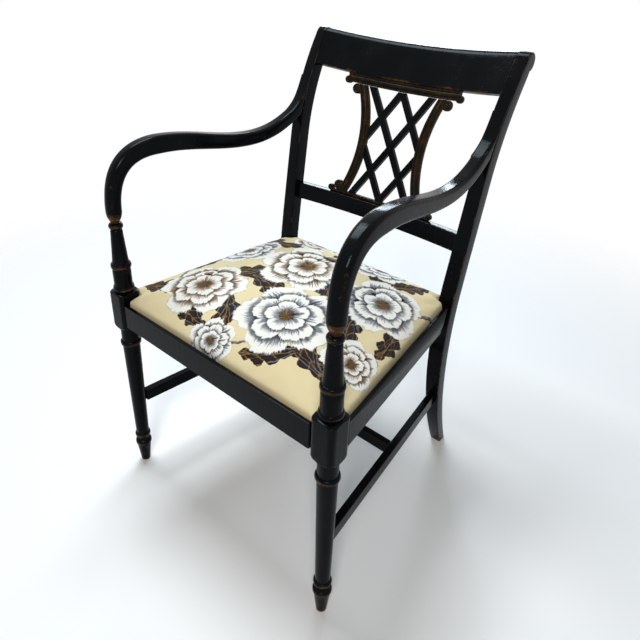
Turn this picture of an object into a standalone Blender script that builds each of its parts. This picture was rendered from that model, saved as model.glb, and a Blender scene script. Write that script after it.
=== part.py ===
"""Lattice-back open armchair with turned front legs and a drop-in seat.

Metres, +Z up. The chair faces -Y and +X is to the right of someone looking at its front.
The origin is on the floor under the middle of the chair. The seat slides up out of its rebate.
"""
import math

import bmesh
import bpy
from mathutils import Vector

# Fits
CLEARANCE = 0.0003          # gap between touching pieces
TENON_ROOT = 0.006          # how far a tenon's solid reaches back into its own rail
CUT_PAST = 0.010            # how far a cutter runs out past the face it cuts
SLOPE_STEP = 0.001          # step along a line that its slope is taken over
SEAT_PLAY = 0.0015          # gap between the drop-in seat and the frame round it

# Front legs, turned, with a square block at the seat
FRONT_LEG_X = 0.2412        # leg axis, from the middle
FRONT_LEG_Y = -0.2632
FRONT_LEG_SPLAY = 0.0035    # how far the foot stands out beyond the block
LEG_SIDES = 24
BLOCK_HALF = 0.021
BLOCK_CORNER = 0.009
BLOCK_BOTTOM = 0.349
BLOCK_TOP = 0.414
SHOULDER = 0.009            # height of the curved shoulders of the block
FOOT_TIP_R = 0.0090
FOOT_TIP_ROUND = 0.0012
FOOT_TOP_R = 0.0142
FOOT_RING_Z = 0.0515
FOOT_RING_R = 0.0160
ANKLE_RING_Z = 0.0720
ANKLE_RING_R = 0.0153
SHAFT_LOW_R = 0.0126
SHAFT_TOP_R = 0.0162
KNEE_RING_Z = 0.3060
KNEE_RING_R = 0.0193
NECK_R = 0.0164
NECK_STRAIGHT = 0.006       # plain neck under the block's shoulder
NECK_FLARE = 0.0012
BASE_RING_R = 0.0186
CYLINDER_R = 0.0163
SEAT_RING_Z = 0.4690
SEAT_RING_R = 0.0180
COLUMN_LOW_R = 0.0140
COLUMN_TOP_R = 0.0103
CUP_RING_Z = 0.5450
CUP_RING_R = 0.0125
CUP_NECK_R = 0.0070
CUP_R = 0.0131
CUP_TOP = 0.5690
CUP_LIP = 0.001             # plain rim of the cup, and the fillet at its ring
RING_HALF = 0.0055          # half height of each turned ring
GROOVE_DEPTH = 0.0008       # groove between the two lowest rings
LEG_TENON_R = 0.0065
LEG_TENON_LENGTH = 0.024

# Back posts, each one piece with its leg
POST_FOOT_X = 0.1882
POST_TOP_X = 0.2126         # the posts lean outwards
POST_SEAT_Y = 0.1171        # front of the post where it stands furthest forward
FOOT_SWEEP = 0.089          # how far the foot sweeps back
SWEEP_TOP = 0.350           # height where that sweep starts
POST_LEAN_BACK = 0.0702     # straight lean back from the seat to the top
LEAN_START = 0.390
LEAN_EASE = 0.040
CURVE_LENGTH = 0.204        # height of the top part that curves back
TOP_CURVE_RADIUS = 0.395    # radius of that curve
POST_SEAT_WIDTH = 0.0300
POST_WIDEST_Z = 0.300
POST_FOOT_WIDTH = 0.0220
POST_TOP_WIDTH = 0.0225
POST_FOOT_DEPTH = 0.0215
POST_TOP_DEPTH = 0.0318
POST_EDGE = 0.0022          # worn edge of the posts
POST_STEPS = 32             # sections up a post
CHAIR_HEIGHT = 0.834
SCROLL_R = 0.0150           # roll at the top of the posts and the crest

# Seat rails
RAIL_TOP = 0.400
RAIL_BOTTOM = 0.354
RAIL_THICKNESS = 0.022
REBATE_Z = 0.383
LIP = 0.0075                # width of the rail outside the rebate
FRONT_RAIL_SET_IN = 0.003   # front rail behind the face of the blocks
SIDE_RAIL_FRONT_X = 0.2570  # outer face at the back of the front blocks
SIDE_RAIL_BACK_X = 0.2078   # outer face at the front of the posts
BACK_RAIL_SET_IN = 0.0045   # back rail behind the front of the posts
RAIL_TENON = 0.009
RAIL_TENON_THICKNESS = 0.007
RAIL_TENON_Z0 = 0.360
RAIL_TENON_Z1 = 0.378

# Stretchers
STRETCHER_TOP = 0.178
STRETCHER_BOTTOM = 0.153
STRETCHER_THICKNESS = 0.014
STRETCHER_TENON = 0.007
STRETCHER_TENON_THICKNESS = 0.008
STRETCHER_TENON_HEIGHT = 0.015
CROSS_STRETCHER_Y = -0.0332
CROSS_STRETCHER_THICKNESS = 0.012

# Arms
ARM_START_WIDTH = 0.0262
ARM_CROWN_Y = -0.1732
ARM_CROWN_RISE = 0.1022     # crown of the arm above the top of the leg
ARM_CROWN_Z = CUP_TOP + ARM_CROWN_RISE
ARM_CROWN_THICKNESS = 0.0318
ARM_WIDTH = 0.0256
ARM_DIP_Y = 0.0368
ARM_DIP_RISE = 0.0762
ARM_DIP_Z = CUP_TOP + ARM_DIP_RISE
ARM_DIP_THICKNESS = 0.0258
ARM_END_SPACE = 0.0270      # where the arm starts to run onto the post, ahead of it
ARM_END_DROP = 0.1648       # joint of arm and post, below the top of the posts
ARM_END_Z = CHAIR_HEIGHT - ARM_END_DROP
ARM_END_THICKNESS = 0.0236
ARM_TIP_DROP = 0.0890
ARM_TIP_Z = CHAIR_HEIGHT - ARM_TIP_DROP
ARM_TIP_THICKNESS = 0.0016
ARM_EDGE = 0.0065
ARM_FRONT_HANDLE = 0.070
ARM_CROWN_HANDLE = 0.060
ARM_DIP_HANDLE = 0.075
ARM_END_HANDLE = 0.035
ARM_END_ANGLE = 27.5        # degrees that the arm rises at the post
ARM_BOW = 0.003             # the arm is drawn in between leg and post
ARM_SCREW_DROP = 0.1360
ARM_SCREW_Z = CHAIR_HEIGHT - ARM_SCREW_DROP

# Crest rail and mid rail
CREST_HEIGHT = 0.0635
CREST_BOTTOM = CHAIR_HEIGHT - CREST_HEIGHT
CREST_THICKNESS = 0.0135
CREST_SET_IN = 0.0010
CREST_BOW = 0.0250
MID_TOP = 0.5285
MID_BOTTOM = 0.4960
MID_THICKNESS = 0.0140
MID_SET_IN = 0.0125
MID_BOW = 0.0170
BACK_TENON = 0.012
BACK_TENON_THICKNESS = 0.006
BACK_TENON_END = 0.008      # rail left above and below its tenon

# Splat
SPLAT_THICKNESS = 0.009
SPLAT_SET_IN = 0.0015       # behind the front lower edge of the crest
TOP_BAR_HALF = 0.122
TOP_BAR_HEIGHT = 0.0180
BASE_BAR_SPACE = 0.0038     # between its end volutes and those of the side pieces
BASE_BAR_HEIGHT = 0.0070
BASE_BAR_SET_IN = 0.0040    # behind the front upper edge of the mid rail
BAR_VOLUTE_R = 0.0068
BASE_VOLUTE_R = 0.0060
SIDE_WAIST_X = 0.0650
SIDE_END_X = 0.0885
SIDE_WIDTH = 0.0185
SIDE_VOLUTE_R = 0.0096
SIDE_VOLUTE_OUT = 0.0150    # volute centre outside the middle of the side piece
LATTICE_X = 0.0660          # long bars meet the top and base bars here
LATTICE_WIDTH = 0.0148      # across the bar, along the top bar
LATTICE_THICKNESS = 0.0080

# Corner blocks and their screws
CORNER_REACH = 0.058
CORNER_BLOCK_TOP = 0.3800
CORNER_BLOCK_BOTTOM = 0.3580
SCREW_R = 0.0016
SCREW_HEAD_R = 0.0036
CORNER_SCREW_SHIFT = 0.0008  # screw moved this far towards the front or back rail
SCREW_HEAD = 0.0024
CORNER_SCREW_GRIP = 0.008   # how deep a screw goes into leg or post
ARM_SCREW_GRIP = 0.008
PLUG_DEPTH = 0.005

# Drop-in seat
BOARD_WIDTH = 0.050
BOARD_THICKNESS = 0.017
STRAP_WIDTH = 0.050
STRAP_THICKNESS = 0.0014
STRAP_RAMP = 0.004          # level stretch past each crossing
STRAP_MARGIN = 0.006        # from a strap's end to the edge of the boards
HESSIAN_MARGIN = 0.003
STRAP_SPACING_X = 0.115
STRAP_SPACING_Y = 0.105
HESSIAN_THICKNESS = 0.0010
COVER_THICKNESS = 0.0012
SEAT_EDGE_Z = 0.4190        # where the covered sides turn over onto the crown
SEAT_CROWN_Z = 0.4480
SEAT_SIDE_DRAW = 0.0020     # sides drawn in between the corners
SEAT_POINTS_PER_EDGE = 7
SEAT_RINGS = 7
CROWN_SPACING = 1.6         # rings stand closer together towards the edge
CROWN_SQUARENESS = 5        # 2 would draw the inner rings as ellipses
CROWN_FLATNESS = 4
CROWN_SHOULDER = 0.55

LACQUER = (0.010, 0.010, 0.012, 1.0)
WORN_LACQUER = (0.030, 0.020, 0.012, 1.0)
PLAIN_WOOD = (0.42, 0.27, 0.14, 1.0)
WEBBING = (0.36, 0.29, 0.19, 1.0)
HESSIAN = (0.40, 0.30, 0.18, 1.0)
WADDING = (0.80, 0.77, 0.70, 1.0)
PRINT = (0.68, 0.58, 0.34, 1.0)
STEEL = (0.35, 0.33, 0.30, 1.0)


# Modelling helpers

def lerp(a, b, t):
    return a + (b - a) * t


def finish(obj, colour, roughness, metallic=0.0):
    material = bpy.data.materials.new(obj.name + "_finish")
    material.use_nodes = True
    shader = material.node_tree.nodes["Principled BSDF"]
    shader.inputs["Base Color"].default_value = colour
    shader.inputs["Roughness"].default_value = roughness
    shader.inputs["Metallic"].default_value = metallic
    material.diffuse_color = colour
    obj.data.materials.clear()
    obj.data.materials.append(material)
    return obj


def lacquered(obj):
    return finish(obj, LACQUER, 0.28)


def solid(name, points, faces, smooth=False):
    """One closed mesh object from points and faces, with its faces turned outwards."""
    mesh = bpy.data.meshes.new(name)
    build = bmesh.new()
    verts = [build.verts.new(point) for point in points]
    for face in faces:
        build.faces.new([verts[index] for index in face])
    bmesh.ops.remove_doubles(build, verts=build.verts, dist=0.000001)
    bmesh.ops.dissolve_degenerate(build, edges=build.edges, dist=0.000001)
    bmesh.ops.recalc_face_normals(build, faces=build.faces)
    build.to_mesh(mesh)
    build.free()
    obj = bpy.data.objects.new(name, mesh)
    bpy.context.scene.collection.objects.link(obj)
    if smooth:
        mesh.shade_smooth()
        mesh.set_sharp_from_angle(angle=math.radians(35))
    return obj


def loft(name, sections, smooth=False):
    """Join equal rings of points, one after the other, and close both ends."""
    count = len(sections[0])
    points = [point for section in sections for point in section]
    faces = []
    for row in range(len(sections) - 1):
        for k in range(count):
            a = row * count + k
            b = row * count + (k + 1) % count
            faces.append((a, b, b + count, a + count))
    faces.append(tuple(reversed(range(count))))
    last = (len(sections) - 1) * count
    faces.append(tuple(range(last, last + count)))
    return solid(name, points, faces, smooth)


def prism(name, outline, z0, z1):
    """Upright prism over a plan outline."""
    low = [Vector((x, y, z0)) for x, y in outline]
    high = [Vector((x, y, z1)) for x, y in outline]
    return loft(name, [low, high])


def combine(target, tools, operation):
    """Join or cut the target with the tools, which are used up."""
    for tool in tools:
        tool.hide_render = True
        tool.display_type = "WIRE"
        change = target.modifiers.new(operation.lower(), "BOOLEAN")
        change.operation = operation
        change.solver = "EXACT"
        change.object = tool
    graph = bpy.context.evaluated_depsgraph_get()
    mesh = bpy.data.meshes.new_from_object(target.evaluated_get(graph))
    target.modifiers.clear()
    old = target.data
    target.data = mesh
    mesh.name = target.name
    bpy.data.meshes.remove(old)
    for tool in tools:
        bpy.data.objects.remove(tool, do_unlink=True)
    return target


def cut(target, tools):
    return combine(target, tools, "DIFFERENCE")


def unite(target, tools):
    return combine(target, tools, "UNION")


def rod(name, start, end, profile, sides=12, smooth=True):
    """Turned piece along the line from start to end; profile holds (distance, radius) pairs."""
    axis = (end - start).normalized()
    side = axis.orthogonal().normalized()
    up = axis.cross(side)
    sections = []
    for distance, radius in profile:
        ring = []
        for k in range(sides):
            turn = math.tau * k / sides
            ring.append(start + axis * distance + (side * math.cos(turn) + up * math.sin(turn)) * radius)
        sections.append(ring)
    return loft(name, sections, smooth)


def rounded_rectangle(width, height, radius, steps=3):
    """Points (u, v) round a rectangle with round corners."""
    points = []
    for turn, su, sv in ((0, 1, 1), (1, -1, 1), (2, -1, -1), (3, 1, -1)):
        cu = su * (width / 2 - radius)
        cv = sv * (height / 2 - radius)
        for k in range(steps + 1):
            angle = math.radians(90 * turn + 90 * k / steps)
            points.append((cu + radius * math.cos(angle), cv + radius * math.sin(angle)))
    return points


def bezier(p0, p1, p2, p3, t):
    s = 1.0 - t
    return p0 * s ** 3 + p1 * (3 * s * s * t) + p2 * (3 * s * t * t) + p3 * t ** 3


def yz(y, z):
    return Vector((0.0, y, z))


# Lines that several pieces share

def post_x(z):
    return lerp(POST_FOOT_X, POST_TOP_X, z / CHAIR_HEIGHT)


def post_width(z):
    if z < POST_WIDEST_Z:
        fall = (POST_WIDEST_Z - z) / POST_WIDEST_Z
        return POST_SEAT_WIDTH - (POST_SEAT_WIDTH - POST_FOOT_WIDTH) * fall ** 2
    rise = (z - POST_WIDEST_Z) / (CHAIR_HEIGHT - POST_WIDEST_Z)
    return lerp(POST_SEAT_WIDTH, POST_TOP_WIDTH, rise)


def post_inner_x(z):
    return post_x(z) - post_width(z) / 2


def post_front(z):
    """Front line of the back posts, seen from the side."""
    reach = z - LEAN_START
    lean = POST_LEAN_BACK / (CHAIR_HEIGHT - LEAN_START) * (reach + math.hypot(reach, LEAN_EASE)) / 2
    sweep = FOOT_SWEEP * (max(SWEEP_TOP - z, 0.0) / SWEEP_TOP) ** 2
    curve = max(z - CHAIR_HEIGHT + CURVE_LENGTH, 0.0) ** 2 / (2 * TOP_CURVE_RADIUS)
    return POST_SEAT_Y + lean + sweep + curve


def post_back(z):
    return post_front(z) + lerp(POST_FOOT_DEPTH, POST_TOP_DEPTH, z / CHAIR_HEIGHT)


def post_normal(z):
    """Unit vector square to the front line, pointing back and down."""
    slope = (post_front(z + SLOPE_STEP) - post_front(z - SLOPE_STEP)) / (2 * SLOPE_STEP)
    return Vector((0.0, 1.0, -slope)).normalized()


def scroll(set_in, radius):
    """Centre of the roll and the height where it leaves the front line, set in from that line."""
    centre_z = CHAIR_HEIGHT - SCROLL_R
    touch_z = centre_z
    for _ in range(12):
        normal = post_normal(touch_z)
        touch_z = centre_z - normal.z * (radius + set_in)
    centre = yz(post_front(touch_z), touch_z) + normal * (radius + set_in)
    return centre, touch_z


def scroll_arc(centre, radius, touch_z, last_angle, steps):
    """Points of the roll from the front line over the top to last_angle, which is negative."""
    normal = post_normal(touch_z)
    first = math.atan2(-normal.z, -normal.y)
    points = []
    for k in range(1, steps + 1):
        angle = lerp(first, last_angle, k / steps)
        points.append(centre + yz(math.cos(angle), math.sin(angle)) * radius)
    return points


BLOCK_INNER_X = FRONT_LEG_X - BLOCK_HALF
BLOCK_FRONT_Y = FRONT_LEG_Y - BLOCK_HALF
BLOCK_BACK_Y = FRONT_LEG_Y + BLOCK_HALF
FRONT_RAIL_Y = BLOCK_FRONT_Y + FRONT_RAIL_SET_IN
BACK_RAIL_Y = post_front(RAIL_TOP) + BACK_RAIL_SET_IN


def side_rail_x(y):
    """Outer face of the side rails."""
    share = (y - BLOCK_BACK_Y) / (post_front(RAIL_TOP) - BLOCK_BACK_Y)
    return lerp(SIDE_RAIL_FRONT_X, SIDE_RAIL_BACK_X, share)


def leg_x(z):
    """Axis of the front legs, which splay below the block."""
    return FRONT_LEG_X + FRONT_LEG_SPLAY * max(BLOCK_BOTTOM - z, 0.0) / BLOCK_BOTTOM


def shaft_r(z):
    """Radius of the front leg's shaft between its ankle and knee rings."""
    return lerp(SHAFT_LOW_R, SHAFT_TOP_R, (z - ANKLE_RING_Z) / (KNEE_RING_Z - ANKLE_RING_Z))


def stretcher_x(y):
    """Middle of the side stretchers."""
    back_y = post_front(STRETCHER_TOP)
    share = (y - FRONT_LEG_Y) / (back_y - FRONT_LEG_Y)
    return lerp(leg_x(STRETCHER_TOP), post_x(STRETCHER_TOP), share)


def crest_bow(share):
    """Offset of the crest at a share of its half length."""
    return post_normal((CREST_BOTTOM + CHAIR_HEIGHT) / 2) * (CREST_BOW * (1.0 - share ** 2))


def mid_bow(share):
    return post_normal((MID_TOP + MID_BOTTOM) / 2) * (MID_BOW * (1.0 - share ** 2))


def crest_edge(x, depth):
    """Lower edge of the crest at x, a depth behind its front face."""
    normal = post_normal(CREST_BOTTOM)
    point = yz(post_front(CREST_BOTTOM), CREST_BOTTOM) + normal * (CREST_SET_IN + depth)
    point = point + crest_bow(x / post_inner_x(CREST_BOTTOM))
    point.x = x
    return point


def mid_edge(x, depth):
    """Upper edge of the mid rail at x, a depth behind its front face."""
    point = yz(post_front(MID_TOP) + MID_SET_IN + depth, MID_TOP) + mid_bow(x / post_inner_x(MID_TOP))
    point.x = x
    return point


# Tenons: each is made twice, as the tenon and, grown by the clearance, as its mortise

def front_rail_tenon(side, grow):
    y = FRONT_RAIL_Y + RAIL_THICKNESS / 2
    half = RAIL_TENON_THICKNESS / 2 + grow
    x0 = BLOCK_INNER_X - TENON_ROOT
    x1 = BLOCK_INNER_X + RAIL_TENON + grow
    rings = []
    for x in (x0, x1):
        rings.append([Vector((side * x, y + a * half, z)) for a, z in (
            (-1, RAIL_TENON_Z0 - grow), (1, RAIL_TENON_Z0 - grow),
            (1, RAIL_TENON_Z1 + grow), (-1, RAIL_TENON_Z1 + grow))])
    return loft("front_rail_tenon", rings)


def side_rail_tenon(side, at_front, grow):
    half = RAIL_TENON_THICKNESS / 2 + grow
    if at_front:
        ys = (BLOCK_BACK_Y + TENON_ROOT, BLOCK_BACK_Y - RAIL_TENON - grow)
    else:
        post_y = post_front(RAIL_TENON_Z0)
        ys = (post_y - TENON_ROOT, post_y + RAIL_TENON + grow)
    rings = []
    for y in ys:
        x = side_rail_x(y) - RAIL_THICKNESS / 2
        rings.append([Vector((side * (x + a * half), y, z)) for a, z in (
            (-1, RAIL_TENON_Z0 - grow), (1, RAIL_TENON_Z0 - grow),
            (1, RAIL_TENON_Z1 + grow), (-1, RAIL_TENON_Z1 + grow))])
    return loft("side_rail_tenon", rings)


def back_rail_tenon(side, grow):
    y = BACK_RAIL_Y + RAIL_THICKNESS - RAIL_TENON_THICKNESS
    half = RAIL_TENON_THICKNESS / 2 + grow
    z0 = RAIL_TENON_Z0 - grow
    z1 = RAIL_TENON_Z1 + grow
    rings = []
    for reach in (-TENON_ROOT, RAIL_TENON + grow):
        x = post_inner_x(RAIL_TENON_Z0) + reach
        rings.append([Vector((side * x, y + a * half, z))
                      for a, z in ((-1, z0), (1, z0), (1, z1), (-1, z1))])
    return loft("back_rail_tenon", rings)


def stretcher_tenon(side, at_front, grow):
    half = STRETCHER_TENON_THICKNESS / 2 + grow
    middle = (STRETCHER_TOP + STRETCHER_BOTTOM) / 2
    z0 = middle - STRETCHER_TENON_HEIGHT / 2 - grow
    z1 = middle + STRETCHER_TENON_HEIGHT / 2 + grow
    if at_front:
        leg_y = FRONT_LEG_Y + shaft_r(STRETCHER_BOTTOM)
        ys = (leg_y + TENON_ROOT, leg_y - STRETCHER_TENON - grow)
    else:
        ys = (post_front(z1) - TENON_ROOT, post_front(z0) + STRETCHER_TENON + grow)
    rings = []
    for y in ys:
        x = stretcher_x(y)
        rings.append([Vector((side * (x + a * half), y, z))
                      for a, z in ((-1, z0), (1, z0), (1, z1), (-1, z1))])
    return loft("stretcher_tenon", rings)


def cross_tenon(side, grow):
    half = CROSS_STRETCHER_THICKNESS / 4 + grow
    middle = (STRETCHER_TOP + STRETCHER_BOTTOM) / 2
    z0 = middle - STRETCHER_TENON_HEIGHT / 2 - grow
    z1 = middle + STRETCHER_TENON_HEIGHT / 2 + grow
    face = stretcher_x(CROSS_STRETCHER_Y) - STRETCHER_THICKNESS / 2
    rings = []
    for x in (face - TENON_ROOT, face + STRETCHER_THICKNESS / 2 + grow):
        rings.append([Vector((side * x, CROSS_STRETCHER_Y + a * half, z))
                      for a, z in ((-1, z0), (1, z0), (1, z1), (-1, z1))])
    return loft("cross_tenon", rings)


def back_tenon(side, z0, z1, set_in, thickness, grow):
    """Tenon of the crest or the mid rail, in the middle of that rail's thickness."""
    rings = []
    for reach in (-TENON_ROOT, BACK_TENON + grow):
        ring = []
        for z, way in ((z0, -1), (z1, 1)):
            edge = z + way * grow
            normal = post_normal(z)
            for depth in (way, -way):
                offset = set_in + thickness / 2 + depth * (BACK_TENON_THICKNESS / 2 + grow)
                point = yz(post_front(edge), edge) + normal * offset
                point.x = side * (post_inner_x((z0 + z1) / 2) + reach)
                ring.append(point)
        rings.append(ring)
    return loft("back_tenon", rings)


def crest_tenon(side, grow):
    z0 = CREST_BOTTOM + BACK_TENON_END
    z1 = CHAIR_HEIGHT - 2 * SCROLL_R - BACK_TENON_END / 2
    return back_tenon(side, z0, z1, CREST_SET_IN, CREST_THICKNESS, grow)


def mid_tenon(side, grow):
    return back_tenon(side, MID_BOTTOM + BACK_TENON_END, MID_TOP - BACK_TENON_END,
                      MID_SET_IN, MID_THICKNESS, grow)


# Front legs

def bead(z, base, top):
    """Half round ring on a turned piece, as (height, radius) pairs."""
    points = []
    for k in range(5):
        angle = math.radians(-90 + 45 * k)
        points.append((z + RING_HALF * math.sin(angle), base + (top - base) * math.cos(angle)))
    return points


def block_radius(angle):
    """Distance from the axis to the side of the block, a square with round corners."""
    c = abs(math.cos(angle))
    s = abs(math.sin(angle))
    flat = BLOCK_HALF - BLOCK_CORNER
    if min(c, s) * BLOCK_HALF <= max(c, s) * flat:
        return BLOCK_HALF / max(c, s)
    along = flat * (c + s)
    return along + math.sqrt(BLOCK_CORNER ** 2 - 2 * flat ** 2 + along ** 2)


def leg_profile():
    """Turned profile from the foot up, as (height, radius, squareness)."""
    groove = (FOOT_RING_Z + ANKLE_RING_Z) / 2
    base_ring_z = BLOCK_TOP + SHOULDER / 2 + RING_HALF
    turned = [(0.0, FOOT_TIP_R - FOOT_TIP_ROUND), (FOOT_TIP_ROUND, FOOT_TIP_R)]
    turned += bead(FOOT_RING_Z, FOOT_TOP_R, FOOT_RING_R)
    turned += [(groove, SHAFT_LOW_R - GROOVE_DEPTH)]
    turned += bead(ANKLE_RING_Z, SHAFT_LOW_R, ANKLE_RING_R)
    turned += bead(KNEE_RING_Z, SHAFT_TOP_R, KNEE_RING_R)
    turned += [(BLOCK_BOTTOM - SHOULDER - NECK_STRAIGHT, NECK_R)]
    stations = [(z, r, 0.0) for z, r in turned]
    stations += [(BLOCK_BOTTOM - SHOULDER, NECK_R + NECK_FLARE, 0.0),
                 (BLOCK_BOTTOM - SHOULDER / 2, NECK_R, 0.5), (BLOCK_BOTTOM, NECK_R, 1.0),
                 (BLOCK_TOP, NECK_R, 1.0), (BLOCK_TOP + SHOULDER / 2, NECK_R, 0.45)]
    turned = bead(base_ring_z, CYLINDER_R, BASE_RING_R)
    turned += bead(SEAT_RING_Z, (CYLINDER_R + COLUMN_LOW_R) / 2, SEAT_RING_R)
    turned += [(SEAT_RING_Z + 2 * RING_HALF, COLUMN_LOW_R), (CUP_RING_Z - 1.5 * RING_HALF, COLUMN_TOP_R)]
    turned += bead(CUP_RING_Z, CUP_NECK_R + CUP_LIP, CUP_RING_R)
    neck_top = CUP_RING_Z + RING_HALF
    for k in range(1, 4):
        share = k / 3
        radius = lerp(CUP_NECK_R, CUP_R, math.sin(share * math.pi / 2))
        turned.append((lerp(neck_top + CUP_LIP, CUP_TOP - CUP_LIP, share), radius))
    turned += [(CUP_TOP, CUP_R), (CUP_TOP, LEG_TENON_R), (CUP_TOP + LEG_TENON_LENGTH, LEG_TENON_R)]
    return stations + [(z, r, 0.0) for z, r in turned]


def front_leg(side, name):
    rings = []
    for z, radius, square in leg_profile():
        ring = []
        for k in range(LEG_SIDES):
            angle = math.tau * k / LEG_SIDES
            reach = lerp(radius, block_radius(angle), square)
            ring.append(Vector((side * leg_x(z) + reach * math.cos(angle),
                                FRONT_LEG_Y + reach * math.sin(angle), z)))
        rings.append(ring)
    leg = loft(name, rings, smooth=True)
    cut(leg, [front_rail_tenon(side, CLEARANCE), side_rail_tenon(side, True, CLEARANCE),
              stretcher_tenon(side, True, CLEARANCE), corner_screw_hole(side, True)])
    return lacquered(leg)


# Back posts

def post_ring(side, front, back):
    """Section of a post from a front point to a back point, with worn edges."""
    span = back - front
    edge = min(POST_EDGE, span.length / 3)
    along = span.normalized() * edge if span.length > 0 else Vector((0.0, 0.0, 0.0))
    ring = []
    for point, across in ((front, -1), (front, 1), (back, 1), (back, -1)):
        half = post_width(point.z) / 2
        inward = along if point is front else -along
        near = Vector((side * (post_x(point.z) + across * (half - edge)), point.y, point.z))
        far = Vector((side * (post_x(point.z) + across * half), point.y, point.z)) + inward
        ring += [far, near] if (across < 0) == (point is front) else [near, far]
    return ring


def back_post(side, name):
    centre, touch_z = scroll(0.0, SCROLL_R)
    last_angle = math.radians(-80)
    notch = centre + yz(math.cos(last_angle), math.sin(last_angle)) * SCROLL_R
    rings = []
    for k in range(POST_STEPS):
        z = notch.z * k / POST_STEPS
        rings.append(post_ring(side, yz(post_front(z), z), yz(post_back(z), z)))
    rings.append(post_ring(side, yz(post_front(notch.z), notch.z), notch))
    rings.append(post_ring(side, yz(post_front(touch_z), touch_z), notch))
    for point in scroll_arc(centre, SCROLL_R, touch_z, last_angle, 10)[:-1]:
        rings.append(post_ring(side, point, notch))
    post = loft(name, rings)
    cut(post, [side_rail_tenon(side, False, CLEARANCE), back_rail_tenon(side, CLEARANCE),
               stretcher_tenon(side, False, CLEARANCE), crest_tenon(side, CLEARANCE),
               mid_tenon(side, CLEARANCE), corner_screw_hole(side, False), arm_screw_hole(side)])
    return lacquered(post)


# Seat rails and stretchers

def rail_section():
    """Rail section as (inward distance, height), with its rebate for the drop-in seat."""
    return [(0.0, RAIL_BOTTOM), (RAIL_THICKNESS, RAIL_BOTTOM), (RAIL_THICKNESS, REBATE_Z),
            (LIP, REBATE_Z), (LIP, RAIL_TOP), (0.0, RAIL_TOP)]


def front_rail():
    rings = []
    for side in (-1, 1):
        x = side * (BLOCK_INNER_X - CLEARANCE)
        rings.append([Vector((x, FRONT_RAIL_Y + inward, z)) for inward, z in rail_section()])
    rail = loft("front_seat_rail", rings)
    return lacquered(unite(rail, [front_rail_tenon(side, 0.0) for side in (-1, 1)]))


def back_rail():
    rings = []
    for side in (-1, 1):
        rings.append([Vector((side * (post_inner_x(z) - CLEARANCE), BACK_RAIL_Y + RAIL_THICKNESS - inward, z))
                      for inward, z in rail_section()])
    rail = loft("back_seat_rail", rings)
    return lacquered(unite(rail, [back_rail_tenon(side, 0.0) for side in (-1, 1)]))


def rail_end_y(z):
    """Straight shoulder line of the side rails, just clear of the curved front of the post."""
    low = post_front(RAIL_BOTTOM)
    high = post_front(RAIL_TOP)
    hollow = (low + high) / 2 - post_front((RAIL_BOTTOM + RAIL_TOP) / 2)
    return lerp(low, high, (z - RAIL_BOTTOM) / (RAIL_TOP - RAIL_BOTTOM)) - max(hollow, 0.0) - CLEARANCE


def side_rail(side, name):
    front = []
    back = []
    for inward, z in rail_section():
        y0 = BLOCK_BACK_Y + CLEARANCE
        y1 = rail_end_y(z)
        front.append(Vector((side * (side_rail_x(y0) - inward), y0, z)))
        back.append(Vector((side * (side_rail_x(y1) - inward), y1, z)))
    rail = loft(name, [front, back])
    return lacquered(unite(rail, [side_rail_tenon(side, True, 0.0), side_rail_tenon(side, False, 0.0)]))


def side_stretcher(side, name):
    """Side stretcher, whose front end is scribed to the round leg."""
    half = STRETCHER_THICKNESS / 2
    leg_r = shaft_r(STRETCHER_TOP) + 2 * CLEARANCE
    rings = [[], []]
    for across, z in ((-1, STRETCHER_BOTTOM), (1, STRETCHER_BOTTOM), (1, STRETCHER_TOP), (-1, STRETCHER_TOP)):
        y0 = FRONT_LEG_Y + leg_r
        y1 = post_front(z) - CLEARANCE
        rings[0].append(Vector((side * (stretcher_x(y0) + across * half), y0, z)))
        rings[1].append(Vector((side * (stretcher_x(y1) + across * half), y1, z)))
    bar = loft(name, rings)
    unite(bar, [stretcher_tenon(side, True, 0.0), stretcher_tenon(side, False, 0.0)])
    return lacquered(cut(bar, [cross_tenon(side, CLEARANCE)]))


def cross_stretcher():
    half = CROSS_STRETCHER_THICKNESS / 2
    rings = []
    for side in (-1, 1):
        ring = []
        for across, z in ((-1, STRETCHER_BOTTOM), (1, STRETCHER_BOTTOM),
                          (1, STRETCHER_TOP), (-1, STRETCHER_TOP)):
            y = CROSS_STRETCHER_Y + across * half
            x = stretcher_x(y) - STRETCHER_THICKNESS / 2 - CLEARANCE
            ring.append(Vector((side * x, y, z)))
        rings.append(ring)
    bar = loft("cross_stretcher", rings)
    return lacquered(unite(bar, [cross_tenon(side, 0.0) for side in (-1, 1)]))


# Arms

def arm_x(y):
    """Middle of the arm, from the leg to the post, drawn in a little between."""
    end_y = post_front(ARM_END_Z)
    share = min(max((y - FRONT_LEG_Y) / (end_y - FRONT_LEG_Y), 0.0), 1.0)
    return lerp(FRONT_LEG_X, post_x(ARM_END_Z), share) - ARM_BOW * math.sin(math.pi * share)


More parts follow.
